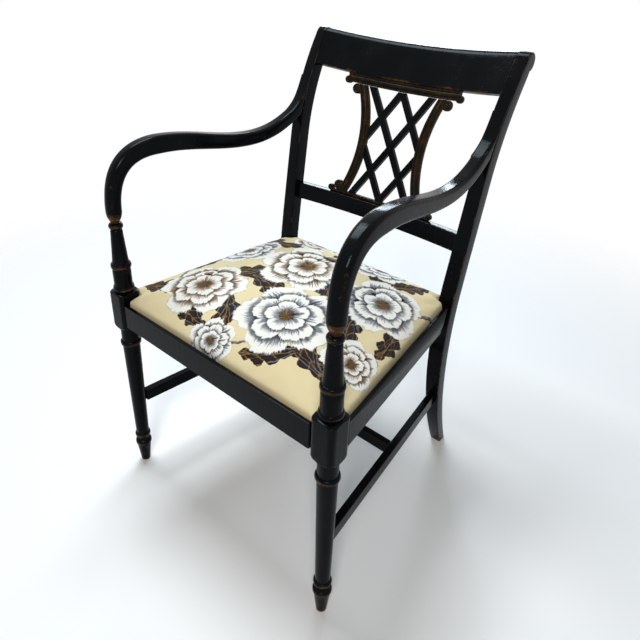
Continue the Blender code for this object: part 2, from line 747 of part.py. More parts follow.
def arm_line():
    """Middle line of the free arm as (point, tangent, thickness, width, edge radius)."""
    start = yz(FRONT_LEG_Y, CUP_TOP + CLEARANCE)
    crown = yz(ARM_CROWN_Y, ARM_CROWN_Z)
    dip = yz(ARM_DIP_Y, ARM_DIP_Z)
    end = yz(post_front(ARM_END_Z) - ARM_END_SPACE, ARM_END_Z)
    rise = yz(math.cos(math.radians(ARM_END_ANGLE)), math.sin(math.radians(ARM_END_ANGLE)))
    runs = (
        (start, yz(0, ARM_FRONT_HANDLE), yz(ARM_CROWN_HANDLE, 0), crown, 9,
         (ARM_START_WIDTH, ARM_CROWN_THICKNESS), (ARM_START_WIDTH, ARM_WIDTH),
         (ARM_START_WIDTH / 2, ARM_EDGE)),
        (crown, yz(ARM_DIP_HANDLE, 0), yz(ARM_DIP_HANDLE, 0), dip, 7,
         (ARM_CROWN_THICKNESS, ARM_DIP_THICKNESS), (ARM_WIDTH, ARM_WIDTH), (ARM_EDGE, ARM_EDGE)),
        (dip, yz(ARM_END_HANDLE, 0), rise * ARM_END_HANDLE, end, 4,
         (ARM_DIP_THICKNESS, ARM_END_THICKNESS), (ARM_WIDTH, post_width(ARM_END_Z)), (ARM_EDGE, ARM_EDGE)))
    line = []
    for p0, out, into, p3, steps, thickness, width, edge in runs:
        for k in range(0 if p0 is start else 1, steps + 1):
            t = k / steps
            point = bezier(p0, p0 + out, p3 - into, p3, t)
            ahead = bezier(p0, p0 + out, p3 - into, p3, t + SLOPE_STEP)
            tangent = (ahead - point).normalized()
            line.append((point, tangent, lerp(*thickness, t), lerp(*width, t), lerp(*edge, t)))
    return line


def arm_ring(side, low, high, x, width, edge):
    """Rounded section of an arm between its lower and upper points."""
    up = high - low
    thickness = up.length
    up.normalize()
    middle = (low + high) / 2
    ring = []
    for u, v in rounded_rectangle(width, thickness, min(edge, thickness * 0.45, width * 0.499)):
        point = middle + up * v
        point.x = side * (x + u)
        ring.append(point)
    return ring


def arm(side, name):
    rings = []
    for point, tangent, thickness, width, edge in arm_line():
        up = yz(-tangent.z, tangent.y) * (thickness / 2)
        rings.append(arm_ring(side, point - up, point + up, arm_x(point.y), width, edge))
    # The end runs up the front of the post and thins out to its tip.
    line_end = arm_line()[-1]
    upper = line_end[0] + yz(-line_end[1].z, line_end[1].y) * (ARM_END_THICKNESS / 2)
    tip = yz(post_front(ARM_TIP_Z) - CLEARANCE, ARM_TIP_Z) - post_normal(ARM_TIP_Z) * ARM_TIP_THICKNESS
    along_post = yz(-post_normal(ARM_TIP_Z).z, post_normal(ARM_TIP_Z).y)
    steps = 6
    for k in range(1, steps + 1):
        t = k / steps
        high = bezier(upper, upper + line_end[1] * ARM_END_HANDLE, tip - along_post * ARM_END_HANDLE, tip, t)
        z = lerp(ARM_END_Z, ARM_TIP_Z, t)
        low = yz(post_front(z) - CLEARANCE, z)
        rings.append(arm_ring(side, low, high, post_x(z), post_width(z), ARM_EDGE * 0.6))
    bar = loft(name, rings, smooth=True)
    foot = Vector((side * FRONT_LEG_X, FRONT_LEG_Y, CUP_TOP - CUT_PAST))
    top = foot + Vector((0.0, 0.0, CUT_PAST + LEG_TENON_LENGTH))
    depth = CUT_PAST + LEG_TENON_LENGTH + CLEARANCE
    socket = rod("socket", foot, top, [(0.0, LEG_TENON_R + CLEARANCE), (depth, LEG_TENON_R + CLEARANCE)],
                 LEG_SIDES)
    return lacquered(cut(bar, [socket, arm_screw_hole(side)]))


def arm_screw_line(side):
    """Head end of the arm screw, behind the post, and its point inside the arm."""
    normal = post_normal(ARM_SCREW_Z)
    face = yz(post_front(ARM_SCREW_Z), ARM_SCREW_Z)
    face.x = side * post_x(ARM_SCREW_Z)
    back = (post_back(ARM_SCREW_Z) - post_front(ARM_SCREW_Z)) * normal.y
    return face + normal * back, face - normal * ARM_SCREW_GRIP


def arm_screw_hole(side):
    head, point = arm_screw_line(side)
    wide = SCREW_HEAD_R + CLEARANCE
    narrow = SCREW_R + CLEARANCE
    seat = PLUG_DEPTH + SCREW_HEAD + 2 * CLEARANCE
    start = head - (point - head).normalized() * CUT_PAST
    end = (point - start).length + CLEARANCE
    return rod("arm_screw_hole", start, point,
               [(0.0, wide), (CUT_PAST + seat, wide), (CUT_PAST + seat, narrow), (end, narrow)])


def arm_screw(side, name):
    head, point = arm_screw_line(side)
    start = head + (point - head).normalized() * (PLUG_DEPTH + CLEARANCE)
    length = (point - start).length
    screw = rod(name, start, point, [(0.0, SCREW_HEAD_R), (SCREW_HEAD, SCREW_HEAD_R), (SCREW_HEAD, SCREW_R),
                                     (length, SCREW_R)])
    return finish(screw, STEEL, 0.4, 1.0)


def arm_plug(side, name):
    head, point = arm_screw_line(side)
    plug = rod(name, head, point, [(0.0, SCREW_HEAD_R), (PLUG_DEPTH, SCREW_HEAD_R)])
    return lacquered(plug)


# Crest rail and mid rail

def crest_section():
    """Points (y, z) round the crest: up the front, over the roll and down the back."""
    radius = SCROLL_R - CREST_SET_IN
    centre, touch_z = scroll(CREST_SET_IN, radius)
    steps = 4
    front = []
    back = []
    for k in range(steps + 1):
        z = lerp(CREST_BOTTOM, touch_z, k / steps)
        face = yz(post_front(z), z)
        front.append(face + post_normal(z) * CREST_SET_IN)
        back.append(face + post_normal(z) * (CREST_SET_IN + CREST_THICKNESS))
    under = math.atan2(-post_normal(touch_z).y, post_normal(touch_z).z)
    roll = scroll_arc(centre, radius, touch_z, under, 9)
    back = [point for point in back if (point - centre).length > radius * 1.15]
    return front + roll + list(reversed(back))


def crest_rail():
    section = crest_section()
    rings = []
    steps = 12
    for k in range(steps + 1):
        share = -1.0 + 2.0 * k / steps
        ring = []
        for point in section:
            moved = point + crest_bow(share)
            moved.x = share * (post_inner_x(point.z) - CLEARANCE)
            ring.append(moved)
        rings.append(ring)
    rail = loft("crest_rail", rings, smooth=True)
    return lacquered(unite(rail, [crest_tenon(side, 0.0) for side in (-1, 1)]))


def mid_rail():
    rings = []
    steps = 10
    for k in range(steps + 1):
        share = -1.0 + 2.0 * k / steps
        ring = []
        for z, depth in ((MID_BOTTOM, 0.0), (MID_TOP, 0.0),
                         (MID_TOP, MID_THICKNESS), (MID_BOTTOM, MID_THICKNESS)):
            point = yz(post_front(z) + MID_SET_IN + depth, z) + mid_bow(share)
            point.x = share * (post_inner_x(z) - CLEARANCE)
            ring.append(point)
        rings.append(ring)
    rail = loft("mid_rail", rings)
    return lacquered(unite(rail, [mid_tenon(side, 0.0) for side in (-1, 1)]))


# Splat: a lattice between two hourglass sides, set in the slightly bowed sheet between the rails

def worn(obj):
    return finish(obj, WORN_LACQUER, 0.4)


def top_bar_low(x):
    """Lower front edge of the splat's top bar."""
    return crest_edge(x, SPLAT_SET_IN) - splat_up() * (TOP_BAR_HEIGHT + CLEARANCE)


def base_bar_top(x):
    """Upper front edge of the splat's base bar."""
    return mid_edge(x, BASE_BAR_SET_IN) + Vector((0.0, 0.0, BASE_BAR_HEIGHT + CLEARANCE))


def splat_up():
    """Direction up the middle of the splat."""
    return (crest_edge(0.0, SPLAT_SET_IN) - mid_edge(0.0, BASE_BAR_SET_IN)).normalized()


def splat_back():
    up = splat_up()
    return Vector((0.0, up.z, -up.y))


def splat_height():
    return (top_bar_low(0.0) - base_bar_top(0.0)).length


def splat_point(x, height, depth):
    """A place in the splat: across, up from the base bar, and back from its front face."""
    share = height / splat_height()
    low = base_bar_top(x)
    high = top_bar_low(x)
    return low.lerp(high, share) + splat_back() * depth


def splat_prism(name, strip, depth0, depth1):
    """Flat piece of the splat: strip holds pairs of left and right (x, height) points up its length."""
    rings = []
    for left, right in strip:
        rings.append([splat_point(*left, depth0), splat_point(*right, depth0),
                      splat_point(*right, depth1), splat_point(*left, depth1)])
    return loft(name, rings)


def splat_disc(name, x, height, radius, depth1, sides=16):
    front = []
    back = []
    for k in range(sides):
        turn = math.tau * k / sides
        place = (x + radius * math.cos(turn), height + radius * math.sin(turn))
        front.append(splat_point(*place, 0.0))
        back.append(splat_point(*place, depth1))
    return loft(name, [front, back])


def splat_top_bar():
    """Bar under the crest, cut to the slope of the crest's underside, with a volute at each end."""
    rings = []
    steps = 10
    for k in range(steps + 1):
        x = lerp(-TOP_BAR_HALF, TOP_BAR_HALF, k / steps)
        low = top_bar_low(x)
        drop = post_normal(CREST_BOTTOM) * CLEARANCE
        high = crest_edge(x, SPLAT_SET_IN) - yz(-drop.z, drop.y)
        far = crest_edge(x, SPLAT_SET_IN + SPLAT_THICKNESS) - yz(-drop.z, drop.y)
        rings.append([low, high, far, low + splat_back() * SPLAT_THICKNESS])
    bar = loft("splat_top_bar", rings)
    height = splat_height() + BAR_VOLUTE_R * 0.5
    volutes = [splat_disc("volute", side * TOP_BAR_HALF, height, BAR_VOLUTE_R, SPLAT_THICKNESS)
               for side in (-1, 1)]
    return worn(unite(bar, volutes))


def side_middle(height):
    """Middle of a splat side piece, narrow at its waist."""
    share = 2.0 * height / splat_height() - 1.0
    return lerp(SIDE_WAIST_X, SIDE_END_X, share ** 2)


def base_volute_height():
    """Middle of the base bar's volutes, which stand clear of the mid rail behind too."""
    tilt_drop = SPLAT_THICKNESS * splat_up().y
    return BASE_VOLUTE_R - BASE_BAR_HEIGHT + CLEARANCE + tilt_drop


def side_volute(at_top):
    """Middle of a side piece's volute, as (x, height)."""
    low = SIDE_VOLUTE_R + CLEARANCE
    height = splat_height() - low if at_top else low
    return side_middle(height) + SIDE_VOLUTE_OUT, height


def base_bar_half():
    """Half length of the base bar, whose volutes stay clear of those of the side pieces."""
    x, height = side_volute(False)
    reach = SIDE_VOLUTE_R + BASE_VOLUTE_R
    rise = height - base_volute_height()
    return x + math.sqrt(max(reach ** 2 - rise ** 2, 0.0)) + BASE_BAR_SPACE


def splat_base_bar():
    """Low bar standing on the mid rail, with a volute at each end."""
    half = base_bar_half()
    rings = []
    steps = 10
    for k in range(steps + 1):
        x = lerp(-half, half, k / steps)
        top = base_bar_top(x)
        foot = top - Vector((0.0, 0.0, BASE_BAR_HEIGHT))
        deep = Vector((0.0, SPLAT_THICKNESS, 0.0))
        rings.append([foot, top, top + splat_back() * SPLAT_THICKNESS, foot + deep])
    bar = loft("splat_base_bar", rings)
    volutes = [splat_disc("volute", side * half, base_volute_height(), BASE_VOLUTE_R, SPLAT_THICKNESS)
               for side in (-1, 1)]
    return worn(unite(bar, volutes))


def splat_side(side, name):
    strip = []
    steps = 14
    top = splat_height() - CLEARANCE
    for k in range(steps + 1):
        height = lerp(CLEARANCE, top, k / steps)
        x = side_middle(height)
        strip.append(((side * (x - SIDE_WIDTH / 2), height), (side * (x + SIDE_WIDTH / 2), height)))
    piece = splat_prism(name, strip, 0.0, SPLAT_THICKNESS)
    volutes = []
    for at_top in (False, True):
        x, height = side_volute(at_top)
        volutes.append(splat_disc("volute", side * x, height, SIDE_VOLUTE_R, SPLAT_THICKNESS))
    return worn(unite(piece, volutes))


def side_inner(height):
    """Inner edge of the side pieces."""
    return side_middle(height) - SIDE_WIDTH / 2 - CLEARANCE


def lattice_slope():
    return 2 * LATTICE_X / (splat_height() - 2 * CLEARANCE)


def meet_side(x0, height0, way):
    """Height where a bar's edge from (x0, height0), rising or falling, meets the right side piece."""
    height = height0
    for _ in range(60):
        reach = (side_inner(height) - x0) / lattice_slope()
        height = lerp(height, height0 + way * reach, 0.5)
    return height


def lattice_edges(kind, side):
    """The two long edges of a bar as pairs of (x, height) end points."""
    half = LATTICE_WIDTH / 2
    low = CLEARANCE
    high = splat_height() - CLEARANCE
    if kind == "long":
        return [((-side * LATTICE_X + e, low), (side * LATTICE_X + e, high)) for e in (-half, half)]
    start = low if kind == "low" else high
    way = 1 if kind == "low" else -1
    edges = []
    for e in (-half, half):
        height = meet_side(e, start, way)
        begin = max(e, CLEARANCE / 2)
        first = start + way * (begin - e) / lattice_slope()
        edges.append(((side * begin, first), (side * side_inner(height), height)))
    return edges


def lattice_strip(kind, side, widen):
    left, right = lattice_edges(kind, side)
    strip = []
    if kind != "long":
        strip.append(((left[0][0], right[0][1]), right[0]))
    steps = 8
    for k in range(steps + 1):
        t = k / steps
        pair = []
        for (edge, way) in ((left, -1), (right, 1)):
            x = lerp(edge[0][0], edge[1][0], t)
            height = lerp(edge[0][1], edge[1][1], t)
            outward = way * widen * (1 if kind == "long" else side)
            pair.append((x + outward, height))
        strip.append(tuple(pair))
    return strip


def lattice_bar(kind, side, name, crossings, front_kept):
    """A bar of the lattice, halved where it crosses others."""
    first = (SPLAT_THICKNESS - LATTICE_THICKNESS) / 2
    last = first + LATTICE_THICKNESS
    middle = (first + last) / 2
    bar = splat_prism(name, lattice_strip(kind, side, 0.0), first, last)
    cutters = []
    for (other_kind, other_side), keeps_front in zip(crossings, front_kept):
        strip = lattice_strip(other_kind, other_side, CLEARANCE * 2)
        if keeps_front:
            cutters.append(splat_prism("halving", strip, middle - CLEARANCE / 2, last + CUT_PAST))
        else:
            cutters.append(splat_prism("halving", strip, first - CUT_PAST, middle + CLEARANCE / 2))
    return lacquered(cut(bar, cutters))


def lattice():
    lattice_bar("long", 1, "lattice_long_right",
                (("long", -1), ("low", -1), ("high", 1)), (True, True, True))
    lattice_bar("long", -1, "lattice_long_left",
                (("long", 1), ("low", 1), ("high", -1)), (False, True, True))
    for kind in ("low", "high"):
        for side, word in ((-1, "left"), (1, "right")):
            # The right long bar rises to the right, so it crosses the low left and high right bars.
            crosses = -side if kind == "low" else side
            lattice_bar(kind, side, "lattice_" + kind + "_" + word, (("long", crosses),), (False,))


# Corner blocks and screws

def corner_outline(side, at_front):
    """Plan of a corner block, fitted round the leg block or the post."""
    gap = CLEARANCE
    if at_front:
        rail_y = FRONT_RAIL_Y + RAIL_THICKNESS + gap
        leg_x_face = BLOCK_INNER_X - gap
        leg_y = BLOCK_BACK_Y + gap
        far_y = leg_y + CORNER_REACH
    else:
        rail_y = BACK_RAIL_Y - gap
        leg_x_face = post_inner_x(CORNER_BLOCK_BOTTOM) - gap
        leg_y = post_front(CORNER_BLOCK_BOTTOM) - gap
        far_y = leg_y - CORNER_REACH
    inner = [side_rail_x(y) - RAIL_THICKNESS - gap for y in (leg_y, far_y)]
    points = [(leg_x_face - CORNER_REACH, rail_y), (leg_x_face, rail_y), (leg_x_face, leg_y)]
    if inner[0] > leg_x_face:
        points.append((inner[0], leg_y))
    points.append((inner[1], far_y))
    return [(side * x, y) for x, y in points]


def corner_screw_line(side, at_front):
    """From the middle of the block's long face to the point of its screw, in leg or post."""
    outline = corner_outline(side, at_front)
    a = Vector((*outline[0], 0.0))
    b = Vector((*outline[-1], 0.0))
    corner = Vector((*outline[2], 0.0))
    across = (b - a).normalized()
    corner = corner - across * CORNER_SCREW_SHIFT
    face = a + across * (corner - a).dot(across)
    face.z = (CORNER_BLOCK_TOP + CORNER_BLOCK_BOTTOM) / 2
    corner.z = face.z
    point = corner + (corner - face).normalized() * CORNER_SCREW_GRIP
    return face, point


def corner_screw_hole(side, at_front):
    face, point = corner_screw_line(side, at_front)
    start = face - (point - face).normalized() * CUT_PAST
    length = (point - start).length + CLEARANCE
    return rod("corner_screw_hole", start, point, [(0.0, SCREW_R + CLEARANCE), (length, SCREW_R + CLEARANCE)])


def corner_block(side, at_front, name):
    block = prism(name, corner_outline(side, at_front), CORNER_BLOCK_BOTTOM, CORNER_BLOCK_TOP)
    return finish(cut(block, [corner_screw_hole(side, at_front)]), PLAIN_WOOD, 0.7)


def corner_screw(side, at_front, name):
    face, point = corner_screw_line(side, at_front)
    out = (face - point).normalized()
    start = face + out * (SCREW_HEAD + CLEARANCE)
    length = (point - start).length
    screw = rod(name, start, point, [(0.0, SCREW_HEAD_R * 0.8), (SCREW_HEAD * 0.5, SCREW_HEAD_R),
                                     (SCREW_HEAD, SCREW_HEAD_R), (SCREW_HEAD, SCREW_R), (length, SCREW_R)])
    return finish(screw, STEEL, 0.4, 1.0)


# Drop-in seat

FRAME_Z = REBATE_Z + CLEARANCE + COVER_THICKNESS
FRAME_TOP = FRAME_Z + BOARD_THICKNESS
LOW_STRAP_Z = FRAME_TOP + CLEARANCE
HIGH_STRAP_Z = LOW_STRAP_Z + STRAP_THICKNESS + CLEARANCE
HESSIAN_Z = HIGH_STRAP_Z + STRAP_THICKNESS + CLEARANCE
PAD_Z = HESSIAN_Z + HESSIAN_THICKNESS + CLEARANCE
SEAT_FRONT_Y = FRONT_RAIL_Y + LIP + SEAT_PLAY
SEAT_BACK_Y = BACK_RAIL_Y + RAIL_THICKNESS - LIP - SEAT_PLAY
NOTCH_X = BLOCK_INNER_X - SEAT_PLAY
NOTCH_Y = BLOCK_BACK_Y + SEAT_PLAY
POST_NOTCH_X = post_inner_x(SWEEP_TOP) - SEAT_PLAY
POST_NOTCH_Y = post_front(SWEEP_TOP) - SEAT_PLAY


def seat_side_x(y):
    return side_rail_x(y) - LIP - SEAT_PLAY


def seat_corners(inset):
    """Plan of the right half of the seat from front middle to back middle, set in from its outline."""
    return [(0.0, SEAT_FRONT_Y + inset), (NOTCH_X - inset, SEAT_FRONT_Y + inset),
            (NOTCH_X - inset, NOTCH_Y + inset), (seat_side_x(NOTCH_Y) - inset, NOTCH_Y + inset),
            (seat_side_x(POST_NOTCH_Y) - inset, POST_NOTCH_Y - inset),
            (POST_NOTCH_X - inset, POST_NOTCH_Y - inset), (POST_NOTCH_X - inset, SEAT_BACK_Y - inset),
            (0.0, SEAT_BACK_Y - inset)]


def seat_outline(inset):
    """Seat plan as a closed ring of points; long edges are split and drawn in between the corners."""
    half = seat_corners(inset)
    right = []
    for k in range(len(half) - 1):
        a = Vector(half[k])
        b = Vector(half[k + 1])
        long_edge = (b - a).length > BOARD_WIDTH
        count = SEAT_POINTS_PER_EDGE if long_edge else 2
        middle_edge = k in (0, len(half) - 2)
        inward = Vector((a.y - b.y, b.x - a.x)).normalized()
        for step in range(count):
            t = step / count
            if not long_edge:
                draw = 0.0
            elif middle_edge:
                draw = math.cos(math.pi * (t if k == 0 else 1.0 - t) / 2)
            else:
                draw = math.sin(math.pi * t)
            right.append(a.lerp(b, t) + inward * (draw * SEAT_SIDE_DRAW))
    right.append(Vector(half[-1]) + Vector((0.0, -SEAT_SIDE_DRAW)))
    left = [Vector((-point.x, point.y)) for point in reversed(right[1:-1])]
    return right + left


def crown(low_z, depth):
    """Rings of the crowned seat from low_z up to the middle, at a depth under the cover's outside."""
    outline = seat_outline(0.0)
    centre = Vector((0.0, (SEAT_FRONT_Y + SEAT_BACK_Y) / 2))
    half_x = seat_side_x(centre.y)
    half_y = (SEAT_BACK_Y - SEAT_FRONT_Y) / 2
    rise = SEAT_CROWN_Z - SEAT_EDGE_Z
    rings = [[Vector((p.x, p.y, low_z)) for p in outline], [Vector((p.x, p.y, SEAT_EDGE_Z)) for p in outline]]
    for k in range(1, SEAT_RINGS):
        share = 1.0 - (k / SEAT_RINGS) ** CROWN_SPACING
        ring = []
        for p in outline:
            around = math.atan2((p.y - centre.y) / half_y, (p.x - centre.x) / half_x)
            smooth = Vector((half_x * math.cos(around), half_y * math.sin(around)))
            power = abs(math.cos(around)) ** CROWN_SQUARENESS + abs(math.sin(around)) ** CROWN_SQUARENESS
            smooth *= power ** (-1.0 / CROWN_SQUARENESS)
            place = centre + smooth.lerp(p - centre, share ** CROWN_FLATNESS) * share
            height = SEAT_EDGE_Z + rise * (1.0 - share ** CROWN_FLATNESS) ** CROWN_SHOULDER
            ring.append(Vector((place.x, place.y, height)))
        rings.append(ring)
    tip = Vector((centre.x, centre.y, SEAT_CROWN_Z))
    count = len(outline)
    inner = []
    for row, ring in enumerate(rings):
        moved = []
        for k in range(count):
            above = rings[row + 1][k] if row + 1 < len(rings) else tip
            below = rings[row - 1][k] if row > 0 else ring[k]
            outward = (ring[(k + 1) % count] - ring[k - 1]).cross(above - below).normalized()
            moved.append(ring[k] - outward * depth)
        inner.append(moved)
    return inner, tip - Vector((0.0, 0.0, depth))


def dome_faces(rings, first):
    """Triangles up the rings and a fan to a middle point that follows them."""
    count = len(rings[0])
    faces = []
    for row in range(len(rings) - 1):
        for k in range(count):
            a = first + row * count + k
            b = first + row * count + (k + 1) % count
            faces.append((a, b, b + count))
            faces.append((a, b + count, a + count))
    last = first + (len(rings) - 1) * count
    tip = first + len(rings) * count
    for k in range(count):
        faces.append((last + k, last + (k + 1) % count, tip))
    return faces


def seat_pad():
    rings, tip = crown(PAD_Z, COVER_THICKNESS + 2 * CLEARANCE)
    points = [point for ring in rings for point in ring] + [tip]
    faces = dome_faces(rings, 0)
    faces.append(tuple(reversed(range(len(rings[0])))))
    return finish(solid("seat_pad", points, faces, smooth=True), WADDING, 0.9)


def seat_cover():
    """Printed cloth over the pad and down the sides of the boards, one skin thick."""
    low = FRAME_Z - COVER_THICKNESS
    outer, outer_tip = crown(low, 0.0)
    inner, inner_tip = crown(low, COVER_THICKNESS)
    count = len(outer[0])
    points = [point for ring in outer for point in ring] + [outer_tip]
    faces = dome_faces(outer, 0)
    start = len(points)
    points += [point for ring in inner for point in ring] + [inner_tip]
    faces += [tuple(reversed(face)) for face in dome_faces(inner, start)]
    for k in range(count):
        faces.append((k, start + k, start + (k + 1) % count, (k + 1) % count))
    return finish(solid("seat_cover", points, faces, smooth=True), PRINT, 0.85)


def seat_boards():
    """Four boards of the seat frame, butted at the corners."""
    inset = COVER_THICKNESS + CLEARANCE + SEAT_SIDE_DRAW
    gap = CLEARANCE
    front_y = SEAT_FRONT_Y + inset
    back_y = SEAT_BACK_Y - inset
    side_y0 = NOTCH_Y + inset
    side_y1 = POST_NOTCH_Y - inset

    def outer(y):
        return seat_side_x(y) - inset

    def inner(y):
        return outer(y) - BOARD_WIDTH

    front_end = front_y + BOARD_WIDTH
    back_end = back_y - BOARD_WIDTH
    right = [(NOTCH_X - inset, front_y), (NOTCH_X - inset, side_y0 - gap),
             (inner(side_y0) - gap, side_y0 - gap), (inner(front_end) - gap, front_end)]
    boards = {"seat_board_front": right + [(-x, y) for x, y in reversed(right)]}
    right = [(inner(back_end) - gap, back_end), (inner(side_y1) - gap, side_y1 + gap),
             (POST_NOTCH_X - inset, side_y1 + gap), (POST_NOTCH_X - inset, back_y)]
    boards["seat_board_back"] = right + [(-x, y) for x, y in reversed(right)]
    for side, word in ((-1, "left"), (1, "right")):
        outline = [(outer(side_y0), side_y0), (outer(side_y1), side_y1),
                   (inner(side_y1), side_y1), (inner(side_y0), side_y0)]
        boards["seat_board_" + word] = [(side * x, y) for x, y in outline]
    for name, outline in boards.items():
        finish(prism(name, outline, FRAME_Z, FRAME_TOP), PLAIN_WOOD, 0.7)


def strap(name, start, end, crossings, high_first):
    """Webbing from start to end; it climbs over every other strap that it crosses."""
    along = (end - start).normalized()
    across = Vector((-along.y, along.x, 0.0)) * (STRAP_WIDTH / 2)
    reach = STRAP_WIDTH / 2 + STRAP_RAMP
    stations = [(0.0, LOW_STRAP_Z)]
    for index, place in enumerate(crossings):
        high = (index % 2 == 0) == high_first
        z = HIGH_STRAP_Z if high else LOW_STRAP_Z
        stations += [(place - reach, z), (place + reach, z)]
    stations.append(((end - start).length, LOW_STRAP_Z))
    rings = []
    for distance, z in stations:
        middle = start + along * distance
        middle.z = z
        up = Vector((0.0, 0.0, STRAP_THICKNESS))
        rings.append([middle - across, middle + across, middle + across + up, middle - across + up])
    return finish(loft(name, rings), WEBBING, 0.9)


def webbing():
    """Three straps each way, woven over and under."""
    margin = COVER_THICKNESS + SEAT_SIDE_DRAW + STRAP_MARGIN
    middle_y = (SEAT_FRONT_Y + SEAT_BACK_Y) / 2
    xs = [STRAP_SPACING_X * k for k in (-1, 0, 1)]
    ys = [middle_y + STRAP_SPACING_Y * k for k in (-1, 0, 1)]
    front = SEAT_FRONT_Y + margin
    back = SEAT_BACK_Y - margin
    for index, x in enumerate(xs):
        strap("webbing_long_" + str(index + 1), Vector((x, front, 0.0)), Vector((x, back, 0.0)),
              [y - front for y in ys], index % 2 == 0)
    for index, y in enumerate(ys):
        reach = seat_side_x(y + STRAP_WIDTH / 2) - margin
        strap("webbing_cross_" + str(index + 1), Vector((-reach, y, 0.0)), Vector((reach, y, 0.0)),
              [x + reach for x in xs], index % 2 == 1)


def hessian():
    inset = COVER_THICKNESS + SEAT_SIDE_DRAW + HESSIAN_MARGIN
    half = seat_corners(inset)
    outline = half[1:-1] + [(-x, y) for x, y in reversed(half[1:-1])]
    sheet = prism("hessian_base", outline, HESSIAN_Z, HESSIAN_Z + HESSIAN_THICKNESS)
    return finish(sheet, HESSIAN, 0.95)


# The whole chair

def clear_scene():
    for obj in list(bpy.data.objects):
        bpy.data.objects.remove(obj, do_unlink=True)


def frame():
    front_rail()
    back_rail()
    cross_stretcher()
    crest_rail()
    mid_rail()
    for side, word in ((-1, "left"), (1, "right")):
        front_leg(side, "front_leg_" + word)
        back_post(side, "back_post_" + word)
        side_rail(side, "side_seat_rail_" + word)
        side_stretcher(side, "side_stretcher_" + word)
        arm(side, "arm_" + word)
        arm_screw(side, "arm_screw_" + word)
        arm_plug(side, "arm_plug_" + word)
        for at_front, place in ((True, "front"), (False, "back")):
            corner_block(side, at_front, "corner_block_" + place + "_" + word)
            corner_screw(side, at_front, "corner_screw_" + place + "_" + word)


def splat():
    splat_top_bar()
    splat_base_bar()
    splat_side(-1, "splat_side_left")
    splat_side(1, "splat_side_right")
    lattice()


def drop_in_seat():
    """The seat and everything on it hang from an empty on the line that it slides along."""
    before = set(bpy.data.objects)
    seat_boards()
    webbing()
    hessian()
    seat_pad()
    seat_cover()
    slide = bpy.data.objects.new("seat_slide", None)
    slide.location = (0.0, (SEAT_FRONT_Y + SEAT_BACK_Y) / 2, FRAME_Z)
    bpy.context.scene.collection.objects.link(slide)
    bpy.context.view_layer.update()
    for obj in set(bpy.data.objects) - before - {slide}:
        obj.parent = slide
        obj.matrix_parent_inverse = slide.matrix_world.inverted()


clear_scene()
frame()
splat()
drop_in_seat()
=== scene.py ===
"""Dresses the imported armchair: black lacquer, a rubbed lattice splat and a padded, printed seat."""

import math
from functools import cache

import bmesh
import bpy
from mathutils import Euler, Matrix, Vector, noise


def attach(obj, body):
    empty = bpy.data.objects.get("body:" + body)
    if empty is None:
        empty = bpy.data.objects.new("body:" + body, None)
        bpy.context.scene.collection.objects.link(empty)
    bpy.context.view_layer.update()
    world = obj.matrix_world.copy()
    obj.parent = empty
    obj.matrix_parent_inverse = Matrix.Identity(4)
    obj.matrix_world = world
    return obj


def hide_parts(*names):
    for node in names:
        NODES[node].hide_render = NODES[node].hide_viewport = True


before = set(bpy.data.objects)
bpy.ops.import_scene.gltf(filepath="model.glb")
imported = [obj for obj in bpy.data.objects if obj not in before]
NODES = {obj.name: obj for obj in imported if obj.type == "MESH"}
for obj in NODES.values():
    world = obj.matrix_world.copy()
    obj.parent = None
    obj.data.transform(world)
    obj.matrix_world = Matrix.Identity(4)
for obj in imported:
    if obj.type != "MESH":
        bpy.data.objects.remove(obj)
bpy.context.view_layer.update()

bl_info = {
    "name": "Lattice-back armchair",
    "version": (1, 0, 0),
    "blender": (4, 5, 0),
    "location": "3D View > Sidebar > Armchair",
    "description": "Lacquered wood, printed cloth and a studio for the packed armchair",
    "category": "Object",
}

SIDES = ((-1, "left"), (1, "right"))


# Sizes and colours that a user would change

def size_prop(name, words, default):
    return bpy.props.FloatProperty(name=name, description=words, default=default, subtype="DISTANCE", unit="LENGTH",
                                   precision=4)


def share_prop(name, words, default):
    return bpy.props.FloatProperty(name=name, description=words, default=default, min=0.0, max=1.0, subtype="FACTOR")


def colour_prop(name, words, default):
    return bpy.props.FloatVectorProperty(name=name, description=words, default=default, size=3, min=0.0, max=1.0,
                                         subtype="COLOR")


class FrameLook(bpy.types.PropertyGroup):
    """Colours and edges of the wooden frame"""
    lacquer: colour_prop("Lacquer", "Black lacquer on the frame", (0.0022, 0.0022, 0.0027))
    brown: colour_prop("Rubbed brown", "Ground coat that shows where the lacquer is rubbed", (0.070, 0.032, 0.012))
    gold: colour_prop("Bare edge", "Wood at the most worn edges", (0.230, 0.120, 0.045))
    splat: colour_prop("Splat brown", "Brown of the rubbed splat mouldings", (0.030, 0.018, 0.009))
    wood: colour_prop("Bare wood", "Blocks and boards under the seat", (0.330, 0.200, 0.095))
    steel: colour_prop("Steel", "Screws and tacks", (0.230, 0.215, 0.200))
    gloss: share_prop("Roughness", "Roughness of sound lacquer", 0.07)
    edge: size_prop("Eased edge", "Radius of the eased edges of rails and stretchers", 0.0014)


